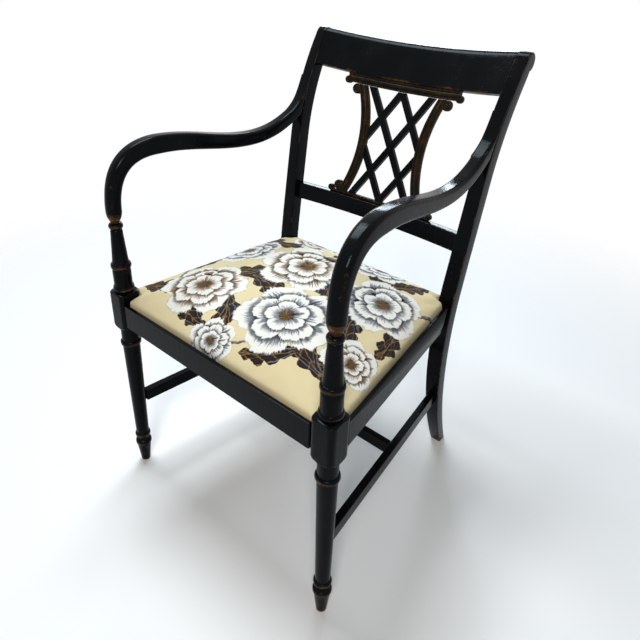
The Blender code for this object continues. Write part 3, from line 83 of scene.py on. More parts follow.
class SeatLook(bpy.types.PropertyGroup):
    """Colours and stuffing of the seat"""
    ground: colour_prop("Ground", "Ground colour of the print", (0.770, 0.660, 0.400))
    white: colour_prop("White", "Palest colour of the print", (0.860, 0.850, 0.790))
    grey: colour_prop("Blue grey", "Blue grey of the print", (0.190, 0.225, 0.275))
    umber: colour_prop("Umber", "Darkest brown of the print", (0.014, 0.010, 0.009))
    tan: colour_prop("Tan", "Mid brown of the print", (0.290, 0.165, 0.060))
    webbing: colour_prop("Webbing", "Jute straps under the seat", (0.560, 0.450, 0.290))
    hessian: colour_prop("Hessian", "Coarse cloth over the straps", (0.390, 0.280, 0.150))
    crown: size_prop("Crown", "Height of the seat's crown before it swells", 0.0275)
    swell: size_prop("Most swell", "Furthest that any point may move when the pad swells", 0.0050)
    voxel: size_prop("Remesh size", "Size of the voxels that the pad is remeshed with", 0.0050)


class StudioLook(bpy.types.PropertyGroup):
    """Floor, fill light and camera"""
    floor: colour_prop("Floor", "Plain pale floor", (0.96, 0.96, 0.96))
    sky: colour_prop("Fill", "Soft light from all round", (0.72, 0.86, 1.0))
    fill: share_prop("Fill strength", "Strength of the light from all round", 0.13)
    eye: bpy.props.FloatVectorProperty(name="Camera place", description="Where the camera stands", size=3,
                                       default=(0.60383, -0.75096, 0.96998), subtype="XYZ", unit="LENGTH")
    turn: bpy.props.FloatVectorProperty(name="Camera turn", description="How the camera is turned", size=3,
                                        default=tuple(math.radians(a) for a in (62.1737, -1.5035, 41.1796)),
                                        subtype="EULER", unit="ROTATION")
    lens: bpy.props.FloatProperty(name="Lens", description="Focal length in millimetres", default=33.203,
                                  unit="CAMERA")
    shift: bpy.props.FloatVectorProperty(name="Shift", description="Lens shift", size=2, default=(0.0220, -0.0906))


def frame_look():
    return bpy.context.scene.armchair_frame


def seat_look():
    return bpy.context.scene.armchair_seat


def studio_look():
    return bpy.context.scene.armchair_studio


def rgba(value):
    return (value[0], value[1], value[2], 1.0)


def dimmed(tint, by):
    return tuple(part * by for part in tint)


def between(first, second, amount):
    """A colour part of the way from one to another."""
    return tuple(lerp(a, b, amount) for a, b in zip(first, second))


# Shader maths

class Wire:
    """A shader socket that takes part in Python sums."""

    def __init__(self, finish, socket):
        self.finish = finish
        self.socket = socket

    def math(self, operation, *others):
        return self.finish.add("Math", {"operation": operation}, dict(enumerate((self, *others))))

    def __add__(self, other):
        return self.math("ADD", other)

    __radd__ = __add__

    def __sub__(self, other):
        return self.math("SUBTRACT", other)

    def __rsub__(self, other):
        return self.finish.add("Math", {"operation": "SUBTRACT"}, {0: other, 1: self})

    def __mul__(self, other):
        return self.math("MULTIPLY", other)

    __rmul__ = __mul__

    def __truediv__(self, other):
        return self.math("DIVIDE", other)

    def __rtruediv__(self, other):
        return self.finish.add("Math", {"operation": "DIVIDE"}, {0: other, 1: self})

    def __pow__(self, other):
        return self.math("POWER", other)

    def __abs__(self):
        return self.math("ABSOLUTE")

    def sin(self):
        return self.math("SINE")

    def cos(self):
        return self.math("COSINE")

    def root(self):
        return self.math("SQRT")

    def least(self, other):
        return self.math("MINIMUM", other)

    def most(self, other):
        return self.math("MAXIMUM", other)

    def step(self, low, high):
        """0 below low, 1 above high, smooth between."""
        settings = {"interpolation_type": "SMOOTHSTEP", "clamp": False}
        return self.finish.add("MapRange", settings, {"Value": self, "From Min": low, "From Max": high})


class Finish:
    """The nodes of one material, or of the studio's sky."""

    def __init__(self, name, owner=None):
        self.material = owner or bpy.data.materials.new(name)
        self.material.use_nodes = True
        self.tree = self.material.node_tree
        self.tree.nodes.clear()

    def add(self, kind, settings, sockets, out=0):
        """One node: its settings are set first, then the values or links of its sockets."""
        node = self.tree.nodes.new(kind if kind.startswith("NodeGroup") else "ShaderNode" + kind)
        for name, value in settings.items():
            if name == "stops":
                ramp = node.color_ramp
                while len(ramp.elements) < len(value):
                    ramp.elements.new(1.0)
                for element, (place, tint) in zip(ramp.elements, value):
                    element.position = place
                    element.color = rgba(tint)
            else:
                setattr(node, name, value)
        for key, value in sockets.items():
            if isinstance(value, Wire):
                self.tree.links.new(value.socket, node.inputs[key])
            else:
                node.inputs[key].default_value = value
        return Wire(self, node.outputs[out]) if node.outputs else None

    def place(self):
        return self.add("TexCoord", {}, {}, "Object")

    def painted(self, name):
        """A number painted on the mesh, 0 where there is none."""
        return self.add("Attribute", {"attribute_name": name}, {}, "Fac")

    def noise(self, place, scale, detail=2.0, roughness=0.5):
        return self.add("TexNoise", {}, {"Vector": place, "Scale": scale, "Detail": detail, "Roughness": roughness})

    def stretched(self, place, by):
        return self.add("VectorMath", {"operation": "MULTIPLY"}, {0: place, 1: by})

    def plan(self, place):
        """The two numbers of a place seen from above."""
        return [self.add("SeparateXYZ", {}, {0: place}, axis) for axis in ("X", "Y")]

    def blend(self, amount, low, high):
        def tint(value):
            return value if isinstance(value, Wire) else rgba(value)
        return self.add("Mix", {"data_type": "RGBA"}, {0: amount, 6: tint(low), 7: tint(high)}, 2)

    def bump(self, height, distance, strength=1.0):
        return self.add("Bump", {}, {"Height": height, "Distance": distance, "Strength": strength}, "Normal")

    def surface(self, sockets):
        shader = self.add("BsdfPrincipled", {}, sockets)
        self.add("OutputMaterial", {}, {"Surface": shader})
        return self.material


class Pattern(Finish):
    """A group of nodes with numbers in, and a colour and where it lies out."""

    def __init__(self, name, numbers):
        self.tree = bpy.data.node_groups.new(name, "ShaderNodeTree")
        for label in numbers:
            self.tree.interface.new_socket(label, in_out="INPUT", socket_type="NodeSocketFloat")
        self.tree.interface.new_socket("Color", in_out="OUTPUT", socket_type="NodeSocketColor")
        self.tree.interface.new_socket("There", in_out="OUTPUT", socket_type="NodeSocketFloat")
        self.given = [self.add("NodeGroupInput", {}, {}, label) for label in numbers]

    def strokes(self, place, scale):
        """Uneven strokes across one number."""
        return self.add("TexNoise", {"noise_dimensions": "1D"},
                        {"W": place, "Scale": scale, "Detail": 3.0, "Roughness": 0.6})

    def ramp(self, amount, *stops):
        return self.add("ValToRGB", {"stops": stops}, {"Fac": amount}, "Color")

    def result(self, tint, there):
        self.add("NodeGroupOutput", {}, {"Color": tint, "There": there})
        return self.tree


# Finishes, each made once and shared

SPLAT_TONE = 0.62
COTTON_PITCH, HESSIAN_PITCH, WEBBING_PITCH = 0.00065, 0.0017, 0.0024


@cache
def lacquer(tone=0.0):
    """Old black lacquer: brush marks, dulled patches, rubbed edges and small chips."""
    look = frame_look()
    make = Finish("black_lacquer" if tone == 0.0 else "rubbed_lacquer")
    place = make.place()
    patches = make.noise(place, 16.0, 4.0, 0.6)
    grain = make.noise(make.stretched(place, (190.0, 190.0, 26.0)), 1.0, 3.0, 0.6)
    specks = make.noise(place, 420.0, 2.0, 0.6)
    ragged = make.noise(place, 90.0, 5.0, 0.65)
    wear = make.painted("wear")
    rubbed = (wear + (ragged - 0.5) * 1.3 + (patches - 0.5) * 0.6 - 0.46).step(0.0, 0.30) * wear.step(0.02, 0.2)
    bare = (wear + (ragged - 0.5) * 1.6 - 0.80).step(0.0, 0.22) * wear.step(0.3, 0.5)
    chips = (specks * 0.6 + ragged * 0.4).step(0.62, 0.65) * patches.step(0.50, 0.62)
    base = make.blend(patches.step(0.35, 0.75) * 0.6, look.lacquer, tuple(c * 1.8 + 0.001 for c in look.lacquer))
    if tone > 0.0:
        brown = make.blend(grain.step(0.3, 0.7), look.splat, dimmed(look.splat, 0.45))
        base = make.blend((patches * 0.8 + ragged * 0.5 + tone - 0.65).step(0.25, 0.75), base, brown)
    base = make.blend(rubbed * 0.85, base, look.brown)
    base = make.blend(bare * 0.8, base, look.gold)
    base = make.blend(chips * 0.6, base, look.brown)
    dull = patches.step(0.35, 0.85) * 0.12 + rubbed * 0.2 + chips * 0.2 + specks * 0.05
    height = grain * 0.5 + ragged * 0.35 - rubbed * 0.3 - chips * 0.5
    return make.surface({
        "Base Color": base,
        "Roughness": dull + look.gloss + tone * 0.22,
        "Specular IOR Level": 0.06,
        "Specular Tint": (0.74, 0.92, 1.0, 1.0),
        "Normal": make.bump(height, 0.00055, 0.8),
    })


@cache
def bare_wood():
    """Sawn wood that never was polished, darkened by age."""
    look = frame_look()
    make = Finish("bare_wood")
    place = make.place()
    bend = make.noise(place, 9.0, 2.0)
    along = make.stretched(place, (14.0, 90.0, 90.0))
    rings = (make.noise(along, 1.0, 4.0, 0.55) * 26.0 + bend * 5.0).sin() * 0.5 + 0.5
    pores = make.noise(make.stretched(place, (60.0, 900.0, 900.0)), 1.0, 2.0)
    base = make.blend(rings * 0.6, look.wood, dimmed(look.wood, 0.55))
    base = make.blend(pores.step(0.55, 0.75) * 0.5, base, dimmed(look.wood, 0.3))
    base = make.blend(make.noise(place, 22.0, 3.0).step(0.5, 0.8) * 0.4, base, dimmed(look.wood, 0.4))
    return make.surface({"Base Color": base, "Roughness": 0.62 + pores * 0.25,
                         "Normal": make.bump(pores * 0.6 + rings * 0.3, 0.0003, 0.6)})


@cache
def old_steel():
    """Dull screws and tacks with patches of rust."""
    look = frame_look()
    make = Finish("old_steel")
    place = make.place()
    blotch = make.noise(place, 600.0, 4.0, 0.6)
    rust = blotch.step(0.52, 0.7)
    base = make.blend(rust * 0.7, look.steel, (0.090, 0.045, 0.022))
    return make.surface({"Base Color": base, "Metallic": 1.0 - rust * 0.75, "Roughness": 0.34 + rust * 0.4,
                         "Normal": make.bump(blotch, 0.0001, 0.5)})


def woven(across, along, pitch):
    """Height of a plain weave with one thread each pitch."""
    turn = math.tau / (2.0 * pitch)
    warp = abs((across * turn).sin())
    weft = abs((along * turn).sin())
    over = ((across * turn / 2.0).sin() * (along * turn / 2.0).sin()).step(-0.2, 0.2)
    return warp * over + weft * (1.0 - over)


@cache
def jute(name, tint, pitch):
    """Coarse brown cloth, for the straps and the sheet over them."""
    make = Finish(name)
    place = make.place()
    x, y = make.plan(place)
    slub = make.noise(place, 260.0, 3.0, 0.6)
    thread = woven(x, y, pitch)
    stripe = make.painted("stripe")
    # Painted shade: the hollows between the threads are darkened, following the weave's height.
    base = make.blend(thread, dimmed(tint, 0.42), tint)
    base = make.blend(slub.step(0.45, 0.75) * 0.5, base, dimmed(tint, 0.62))
    base = make.blend(stripe.step(0.4, 0.6) * 0.75, base, (0.030, 0.020, 0.016))
    return make.surface({"Base Color": base, "Roughness": 0.92, "Sheen Weight": 0.15,
                         "Normal": make.bump(thread + slub * 0.5, pitch * 0.4, 0.8)})


# The print: open blossoms, dark leaves and thin stalks, laid out for this seat

BLOSSOMS = (
    # x, y, radius, petals, turn, warmth
    (-0.118, -0.178, 0.078, 6, 0.9, 0.85),
    (0.062, -0.158, 0.086, 5, 0.2, 0.10),
    (-0.020, -0.012, 0.090, 6, 1.5, 0.75),
    (0.150, -0.012, 0.076, 5, 2.2, 0.15),
    (-0.168, -0.020, 0.066, 5, 0.3, 0.10),
    (0.068, 0.108, 0.066, 6, 1.2, 0.20),
    (-0.090, 0.112, 0.058, 5, 1.9, 0.85),
    (0.202, -0.165, 0.050, 5, 0.4, 0.80),
    (-0.010, -0.268, 0.046, 6, 0.1, 0.20),
)
LEAVES = (
    # x, y, half length, turn
    (-0.030, -0.108, 0.058, 2.9),
    (-0.078, -0.090, 0.056, 0.9),
    (0.068, -0.060, 0.056, 2.4),
    (0.150, -0.110, 0.054, 1.9),
    (0.150, -0.205, 0.056, -0.4),
    (0.095, -0.238, 0.052, 0.6),
    (-0.030, -0.205, 0.054, 2.2),
    (-0.205, -0.105, 0.054, 1.2),
    (-0.190, -0.215, 0.050, 0.5),
    (-0.110, 0.055, 0.056, 0.5),
    (-0.165, 0.055, 0.050, 2.3),
    (0.000, 0.090, 0.054, 1.3),
    (0.105, 0.062, 0.056, 0.2),
    (0.150, 0.090, 0.050, 1.1),
    (0.215, -0.070, 0.050, 1.8),
    (-0.075, -0.248, 0.048, -0.2),
)
STALKS = (
    # x, y, half length, turn, bow, half width
    (-0.205, -0.150, 0.095, 1.95, 0.012, 0.0034),
    (0.205, 0.030, 0.085, 1.30, -0.014, 0.0030),
    (0.030, -0.250, 0.085, 0.35, 0.012, 0.0028),
    (0.205, -0.225, 0.070, 2.70, -0.010, 0.0028),
    (-0.020, 0.105, 0.090, 2.85, 0.014, 0.0030),
)


def blossom_pattern(look):
    """Three rings of petals, each shaded from its root to a pale tip by strokes along the petal."""
    white, grey, umber, tan = look.white, look.grey, look.umber, look.tan
    pale = between(white, grey, 0.35)
    warm = between(white, tan, 0.35)
    make = Pattern("blossom", ("X", "Y", "Middle X", "Middle Y", "Radius", "Petals", "Turn", "Warmth"))
    x, y, middle_x, middle_y, radius, petals, turn, warmth = make.given
    dx = x - middle_x
    dy = y - middle_y
    reach = (dx * dx + dy * dy).root() / radius
    angle = dy.math("ARCTAN2", dx)
    round_it = (angle + turn).sin() * 1.3 + (angle * 2.0 + 1.0).cos() * 0.9 + turn * 7.0
    strokes = make.strokes(round_it + reach * 0.10, 13.0)
    folds = make.strokes(round_it + reach * 0.35, 3.2)
    base = None
    outside = None
    for size, inner, phase in ((1.0, 0.58, 0.0), (0.70, 0.36, 0.9), (0.43, 0.12, 0.4)):
        lobe = abs((angle * (petals * 0.5) + turn * 1.7 + phase).cos())
        rim = ((lobe ** 0.5) * 0.30 + 0.72 + (strokes - 0.5) * 0.16 + (folds - 0.5) * 0.22) * size
        there = (rim - reach).step(-0.006, 0.006)
        along = (reach - inner) / (rim - inner) + (strokes - 0.5) * 1.5 + (folds - 0.5) * 0.5
        cool = make.ramp(along, (0.0, umber), (0.14, grey), (0.38, grey), (0.50, pale), (0.60, white))
        hot = make.ramp(along, (0.0, umber), (0.16, tan), (0.32, tan), (0.46, warm), (0.56, white))
        tint = make.blend(warmth, cool, hot)
        crease = (0.20 - lobe).step(0.0, 0.2) * (strokes + 0.35)
        tint = make.blend(crease * 0.85, tint, make.blend(warmth, grey, tan))
        edge = (reach - rim + 0.035 * size).step(0.0, 0.02) * strokes.step(0.35, 0.6)
        tint = make.blend(edge * 0.7, tint, make.blend(folds, grey, umber))
        if base is None:
            base, outside = tint, there
        else:
            shadow = (rim * 1.12 - reach).step(-0.02, 0.04) * 0.55
            base = make.blend(there, make.blend(shadow, base, umber), tint)
    heart = (0.15 - reach + (strokes - 0.5) * 0.12).step(-0.01, 0.01)
    base = make.blend(heart, base, make.blend(strokes.step(0.5, 0.56), umber, tan))
    return make.result(base, outside)


def turned(x, y, middle_x, middle_y, turn):
    """A place along and across a motif that is turned about its middle."""
    dx = x - middle_x
    dy = y - middle_y
    c = turn.cos()
    n = turn.sin()
    return dx * c + dy * n, dy * c - dx * n


def leaf_pattern(look):
    """A dark lobed leaf with a pale rib and some tan strokes."""
    umber, tan, grey = look.umber, look.tan, look.grey
    make = Pattern("leaf", ("X", "Y", "Middle X", "Middle Y", "Half", "Turn"))
    x, y, middle_x, middle_y, half, turn = make.given
    along, across = turned(x, y, middle_x, middle_y, turn)
    u = along / half
    v = across / half - u * u * 0.16
    lobes = abs((u * 6.2 + 0.5).sin())
    edge = (1.0 - u * u) * (lobes * 0.20 + 0.24) * (1.0 - u * 0.25)
    there = (edge - abs(v)).step(-0.008, 0.008) * (1.0 - abs(u)).step(0.0, 0.02)
    strokes = make.strokes(u * 1.1 + abs(v) * 4.0 + turn * 5.0, 3.2)
    veins = ((u - abs(v) * 1.1) * 13.0).sin().step(0.80, 0.98) * strokes.step(0.40, 0.55)
    rib = (0.022 - abs(v)).step(0.0, 0.014) * (0.9 - u).step(0.0, 0.2)
    tint = make.blend(strokes.step(0.56, 0.66) * 0.8, umber, make.blend(u.step(-0.3, 0.3), tan, grey))
    tint = make.blend(veins.most(rib) * 0.75, tint, tan)
    return make.result(tint, there)


def stalk_pattern(look):
    """A thin bent stalk, pale on one side and knotted."""
    umber, tan, grey = look.umber, look.tan, look.grey
    make = Pattern("stalk", ("X", "Y", "Middle X", "Middle Y", "Half", "Turn", "Bow", "Width"))
    x, y, middle_x, middle_y, half, turn, bow, width = make.given
    u, across = turned(x, y, middle_x, middle_y, turn)
    v = across - (u / half * 2.2).sin() * bow
    there = (width - abs(v)).step(-0.0004, 0.0004) * (half - abs(u)).step(0.0, 0.003)
    knots = (u * 420.0).sin() * 0.3
    side = (v / width + knots).step(-0.5, 0.5)
    return make.result(make.blend(side, between(umber, tan, 0.35), grey), there)


def nearest(make, x, y, rows):
    """The numbers of the blossom whose circle is nearest to a place."""
    best = None
    for row in rows:
        dx = x - row[0]
        dy = y - row[1]
        far = (dx * dx + dy * dy) / row[2] ** 2
        if best is None:
            best = far
            numbers = list(row)
        else:
            nearer = far.math("LESS_THAN", best)
            numbers = [make.add("Mix", {"data_type": "FLOAT"}, {0: nearer, 2: old, 3: new})
                       for old, new in zip(numbers, row)]
            best = best.least(far)
    return numbers


@cache
def printed_cotton():
    """Plain woven cotton with the print over its ground; its place on the flat cloth is painted on the mesh."""
    look = seat_look()
    make = Finish("printed_cotton")
    cloth = make.add("Attribute", {"attribute_name": "cloth"}, {}, "Vector")
    shake = make.add("TexNoise", {}, {"Vector": cloth, "Scale": 75.0, "Detail": 3.0}, "Color")
    offset = make.add("VectorMath", {"operation": "MULTIPLY_ADD"},
                      {0: shake, 1: (0.010, 0.010, 0.0), 2: (-0.005, -0.005, 0.0)})
    x, y = make.plan(make.add("VectorMath", {"operation": "ADD"}, {0: cloth, 1: offset}))
    brush = make.noise(cloth, 330.0, 3.0, 0.6)
    base = make.blend(make.noise(cloth, 12.0, 2.0).step(0.3, 0.7) * 0.35, look.ground, dimmed(look.ground, 0.90))
    for pattern, rows in ((stalk_pattern(look), STALKS), (leaf_pattern(look), LEAVES),
                          (blossom_pattern(look), [nearest(make, x, y, BLOSSOMS)])):
        for row in rows:
            numbers = dict(enumerate([x, y, *row]))
            tint = make.add("Group", {"node_tree": pattern}, numbers, "Color")
            there = Wire(make, tint.socket.node.outputs["There"])
            base = make.blend(there, base, tint)
    thread = woven(*make.plan(cloth), COTTON_PITCH)
    # Painted shade: the hollows between the threads are darkened a little towards umber, following the weave's height.
    base = make.blend(thread.step(0.1, 0.6), make.blend(0.14, base, look.umber), base)
    return make.surface({"Base Color": base, "Roughness": 0.74 + brush * 0.14, "Sheen Weight": 0.05,
                         "Sheen Roughness": 0.5, "Specular IOR Level": 0.12,
                         "Normal": make.bump(thread * 0.6 + brush * 0.4, 0.00018, 0.6)})


# Mesh helpers

MERGE_GAP, WELD_GAP, SHARP, TURNED_SHARP = 0.000002, 0.00002, 40.0, 50.0


def lerp(a, b, t):
    return a + (b - a) * t


def ease(t):
    t = min(max(t, 0.0), 1.0)
    return t * t * (3.0 - 2.0 * t)


def even_shares(steps):
    """Even steps from -1 to 1."""
    return [-1.0 + 2.0 * k / steps for k in range(steps + 1)]


def yz(y, z):
    return Vector((0.0, y, z))


def bezier(p0, p1, p2, p3, t):
    s = 1.0 - t
    return p0 * s ** 3 + p1 * (3 * s * s * t) + p2 * (3 * s * t * t) + p3 * t ** 3


def linked(name, data):
    """A new object in the scene."""
    obj = bpy.data.objects.new(name, data)
    bpy.context.scene.collection.objects.link(obj)
    return obj


def make_piece(name, points, faces, wear=None, sharp=SHARP):
    """A mesh object with its faces turned out, and a painted number for wear on each point."""
    mesh = bpy.data.meshes.new(name)
    build = bmesh.new()
    layer = build.verts.layers.float.new("wear")
    verts = [build.verts.new(point) for point in points]
    for vert, amount in zip(verts, wear or [0.0] * len(points)):
        vert[layer] = amount
    for face in faces:
        build.faces.new([verts[index] for index in face])
    bmesh.ops.remove_doubles(build, verts=build.verts, dist=MERGE_GAP)
    bmesh.ops.dissolve_degenerate(build, edges=build.edges, dist=MERGE_GAP)
    bmesh.ops.recalc_face_normals(build, faces=build.faces)
    build.to_mesh(mesh)
    build.free()
    piece = linked(name, mesh)
    mesh.shade_smooth()
    mesh.set_sharp_from_angle(angle=math.radians(sharp))
    return piece


def shell(rings):
    """Points, faces and wear of equal rings of (point, wear), joined in a row and closed at both ends."""
    count = len(rings[0])
    faces = []
    for row in range(len(rings) - 1):
        for k in range(count):
            a = row * count + k
            b = row * count + (k + 1) % count
            faces.append((a, b, b + count, a + count))
    last = (len(rings) - 1) * count
    faces += [tuple(range(count)), tuple(range(last, last + count))]
    points, wear = zip(*(pair for ring in rings for pair in ring))
    return points, faces, wear


def unworn(points):
    return [(point, 0.0) for point in points]


def loft(name, rings, sharp=SHARP):
    return make_piece(name, *shell(rings), sharp)


def joined(name, shells):
    """One object from closed shells of (points, faces, wear)."""
    points = []
    faces = []
    wear = []
    for more, sides, amounts in shells:
        first = len(points)
        points += more
        wear += amounts
        faces += [tuple(first + index for index in face) for face in sides]
    return make_piece(name, points, faces, wear, TURNED_SHARP)


def circle(x, y, z, radius, sides):
    """A level ring of points."""
    turns = [math.tau * k / sides for k in range(sides)]
    return [Vector((x + radius * math.cos(turn), y + radius * math.sin(turn), z)) for turn in turns]


def modifier(obj, kind, **settings):
    """A new modifier with its settings."""
    added = obj.modifiers.new(kind.lower(), kind)
    for name, value in settings.items():
        setattr(added, name, value)
    return added


def settled(piece):
    """Turn the modifiers of a piece into its mesh."""
    graph = bpy.context.evaluated_depsgraph_get()
    mesh = bpy.data.meshes.new_from_object(piece.evaluated_get(graph))
    piece.modifiers.clear()
    old = piece.data
    piece.data = mesh
    mesh.name = piece.name
    bpy.data.meshes.remove(old)
    return piece


def applied(piece, kind, **settings):
    """Change the mesh of a piece by one modifier."""
    modifier(piece, kind, **settings)
    return settled(piece)


def dress(piece, body, slot, material, *nodes):
    """Give a new piece its finish, and say what it rides on and stands for."""
    piece.data.materials.clear()
    piece.data.materials.append(material)
    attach(piece, body)
    if nodes:
        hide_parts(*nodes)
    return piece


def frame_piece(piece, node):
    """A piece of the frame in black lacquer, in place of its node."""
    return dress(piece, "frame", "black_lacquer", lacquer(), node)


def splat_piece(piece, node):
    """A piece of the splat in rubbed lacquer, in place of its node."""
    return dress(piece, "frame", "worn_lacquer", lacquer(SPLAT_TONE), node)


def eased(node, width, material, segments=2):
    """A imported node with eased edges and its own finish."""
    obj = NODES[node]
    modifier(obj, "WELD", merge_threshold=WELD_GAP)
    modifier(obj, "BEVEL", width=width, segments=segments, limit_method="ANGLE", angle_limit=math.radians(SHARP),
             harden_normals=True)
    obj.data.materials.clear()
    obj.data.materials.append(material)
    return obj


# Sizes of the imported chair, which the finer pieces follow

CLEARANCE = 0.0003
CHAIR_HEIGHT = 0.834
FRONT_LEG_X, FRONT_LEG_Y, FRONT_LEG_SPLAY = 0.2412, -0.2632, 0.0035
BLOCK_HALF, BLOCK_CORNER, BLOCK_BOTTOM, BLOCK_TOP, SHOULDER = 0.021, 0.009, 0.349, 0.414, 0.009
FOOT_TIP_R, FOOT_TOP_R, FOOT_RING_Z, FOOT_RING_R = 0.0090, 0.0142, 0.0515, 0.0160
ANKLE_RING_Z, ANKLE_RING_R, SHAFT_LOW_R, SHAFT_TOP_R = 0.0720, 0.0153, 0.0126, 0.0162
KNEE_RING_Z, KNEE_RING_R, NECK_R = 0.3060, 0.0193, 0.0164
BASE_RING_R, CYLINDER_R, SEAT_RING_Z, SEAT_RING_R = 0.0186, 0.0163, 0.4690, 0.0180
COLUMN_LOW_R, COLUMN_TOP_R, CUP_RING_Z, CUP_RING_R = 0.0140, 0.0103, 0.5450, 0.0125
CUP_NECK_R, CUP_R, CUP_TOP, CUP_LIP, RING_HALF = 0.0070, 0.0131, 0.5690, 0.001, 0.0055
POST_FOOT_X, POST_TOP_X, POST_SEAT_Y, FOOT_SWEEP, SWEEP_TOP = 0.1882, 0.2126, 0.1171, 0.089, 0.350
POST_LEAN_BACK, LEAN_START, LEAN_EASE, CURVE_LENGTH, TOP_CURVE_RADIUS = 0.0702, 0.390, 0.040, 0.204, 0.395
POST_SEAT_WIDTH, POST_WIDEST_Z, POST_FOOT_WIDTH, POST_TOP_WIDTH = 0.0300, 0.300, 0.0220, 0.0225
POST_FOOT_DEPTH, POST_TOP_DEPTH, POST_EDGE, SCROLL_R = 0.0215, 0.0318, 0.0022, 0.0150
RAIL_TOP, RAIL_THICKNESS, LIP, SEAT_PLAY = 0.400, 0.022, 0.0075, 0.0015
FRONT_RAIL_Y, SIDE_RAIL_FRONT_X, SIDE_RAIL_BACK_X, BACK_RAIL_SET_IN = -0.2812, 0.2570, 0.2078, 0.0045
ARM_START_WIDTH, ARM_CROWN_Y, ARM_CROWN_Z, ARM_CROWN_THICKNESS = 0.0262, -0.1732, 0.6712, 0.0318
ARM_WIDTH, ARM_DIP_Y, ARM_DIP_Z, ARM_DIP_THICKNESS = 0.0256, 0.0368, 0.6452, 0.0258
ARM_END_SPACE, ARM_END_Z, ARM_END_THICKNESS, ARM_END_ANGLE = 0.0270, 0.6692, 0.0236, 27.5
ARM_TIP_Z, ARM_TIP_THICKNESS, ARM_EDGE, ARM_BOW = 0.7450, 0.0016, 0.0065, 0.003
ARM_FRONT_HANDLE, ARM_CROWN_HANDLE, ARM_DIP_HANDLE, ARM_END_HANDLE = 0.070, 0.060, 0.075, 0.035
CREST_BOTTOM, CREST_THICKNESS, CREST_SET_IN, CREST_BOW = 0.7705, 0.0135, 0.0010, 0.0250
MID_TOP, MID_BOTTOM, MID_THICKNESS, MID_SET_IN, MID_BOW = 0.5285, 0.4960, 0.0140, 0.0125, 0.0170
SPLAT_THICKNESS, SPLAT_SET_IN, TOP_BAR_HALF, TOP_BAR_HEIGHT = 0.009, 0.0015, 0.122, 0.0180
BASE_BAR_SPACE, BASE_BAR_HEIGHT, BASE_BAR_SET_IN = 0.0038, 0.0070, 0.0040
BAR_VOLUTE_R, BASE_VOLUTE_R, SIDE_VOLUTE_R, SIDE_VOLUTE_OUT = 0.0068, 0.0060, 0.0096, 0.0150
SIDE_WAIST_X, SIDE_END_X, SIDE_WIDTH = 0.0650, 0.0885, 0.0185
SEAT_LOW_Z, SEAT_SIDE_Z, SEAT_RIM_Z, SEAT_EDGE_Z, SEAT_SIDE_DRAW = 0.3833, 0.393, 0.4025, 0.4190, 0.0020
LOW_STRAP_Z, HIGH_STRAP_Z, HESSIAN_Z, HESSIAN_INSET = 0.4018, 0.4035, 0.4052, 0.0062
STRAP_WIDTH, STRAP_THICKNESS, STRAP_SPACING_X, STRAP_SPACING_Y = 0.050, 0.0014, 0.115, 0.105
STRAP_CLEAR, STRAP_CLIMB, STRIPE_NEAR, STRIPE_FAR = 0.004, 0.022, 0.0110, 0.0170
STRAP_SET_IN, UNDER_LOW_Z, UNDER_HIGH_Z, CLOTH_THICKNESS = 0.0092, 0.3834, 0.3842, 0.0010
STEP = 0.001


# Lines that several pieces share

def post_x(z):
    return lerp(POST_FOOT_X, POST_TOP_X, z / CHAIR_HEIGHT)


def post_width(z):
    if z < POST_WIDEST_Z:
        fall = (POST_WIDEST_Z - z) / POST_WIDEST_Z
        return POST_SEAT_WIDTH - (POST_SEAT_WIDTH - POST_FOOT_WIDTH) * fall ** 2
    rise = (z - POST_WIDEST_Z) / (CHAIR_HEIGHT - POST_WIDEST_Z)
    return lerp(POST_SEAT_WIDTH, POST_TOP_WIDTH, rise)


def post_inner_x(z):
    return post_x(z) - post_width(z) / 2


def post_front(z):
    """Front line of the back posts, seen from the side."""
    reach = z - LEAN_START
    lean = POST_LEAN_BACK / (CHAIR_HEIGHT - LEAN_START) * (reach + math.hypot(reach, LEAN_EASE)) / 2
    sweep = FOOT_SWEEP * (max(SWEEP_TOP - z, 0.0) / SWEEP_TOP) ** 2
    curve = max(z - CHAIR_HEIGHT + CURVE_LENGTH, 0.0) ** 2 / (2 * TOP_CURVE_RADIUS)
    return POST_SEAT_Y + lean + sweep + curve


def post_back(z):
    return post_front(z) + lerp(POST_FOOT_DEPTH, POST_TOP_DEPTH, z / CHAIR_HEIGHT)


def post_normal(z):
    """Unit vector square to the front line, pointing back and down."""
    slope = (post_front(z + STEP) - post_front(z - STEP)) / (2 * STEP)
    return Vector((0.0, 1.0, -slope)).normalized()


def scroll(set_in, radius):
    """Centre of the roll and the height where it leaves the front line, set in from that line."""
    centre_z = CHAIR_HEIGHT - SCROLL_R
    touch_z = centre_z
    for _ in range(12):
        normal = post_normal(touch_z)
        touch_z = centre_z - normal.z * (radius + set_in)
    return yz(post_front(touch_z), touch_z) + normal * (radius + set_in), touch_z


def scroll_arc(centre, radius, touch_z, last_angle, steps):
    """Points of the roll from the front line over the top to last_angle, which is negative."""
    normal = post_normal(touch_z)
    first = math.atan2(-normal.z, -normal.y)
    angles = [lerp(first, last_angle, k / steps) for k in range(1, steps + 1)]
    return [centre + yz(math.cos(angle), math.sin(angle)) * radius for angle in angles]


def side_rail_x(y):
    """Outer face of the side rails."""
    start = FRONT_LEG_Y + BLOCK_HALF
    return lerp(SIDE_RAIL_FRONT_X, SIDE_RAIL_BACK_X, (y - start) / (post_front(RAIL_TOP) - start))


def leg_x(z):
    return FRONT_LEG_X + FRONT_LEG_SPLAY * max(BLOCK_BOTTOM - z, 0.0) / BLOCK_BOTTOM


def crest_bow(share):
    return post_normal((CREST_BOTTOM + CHAIR_HEIGHT) / 2) * (CREST_BOW * (1.0 - share ** 2))


def mid_bow(share):
    return post_normal((MID_TOP + MID_BOTTOM) / 2) * (MID_BOW * (1.0 - share ** 2))


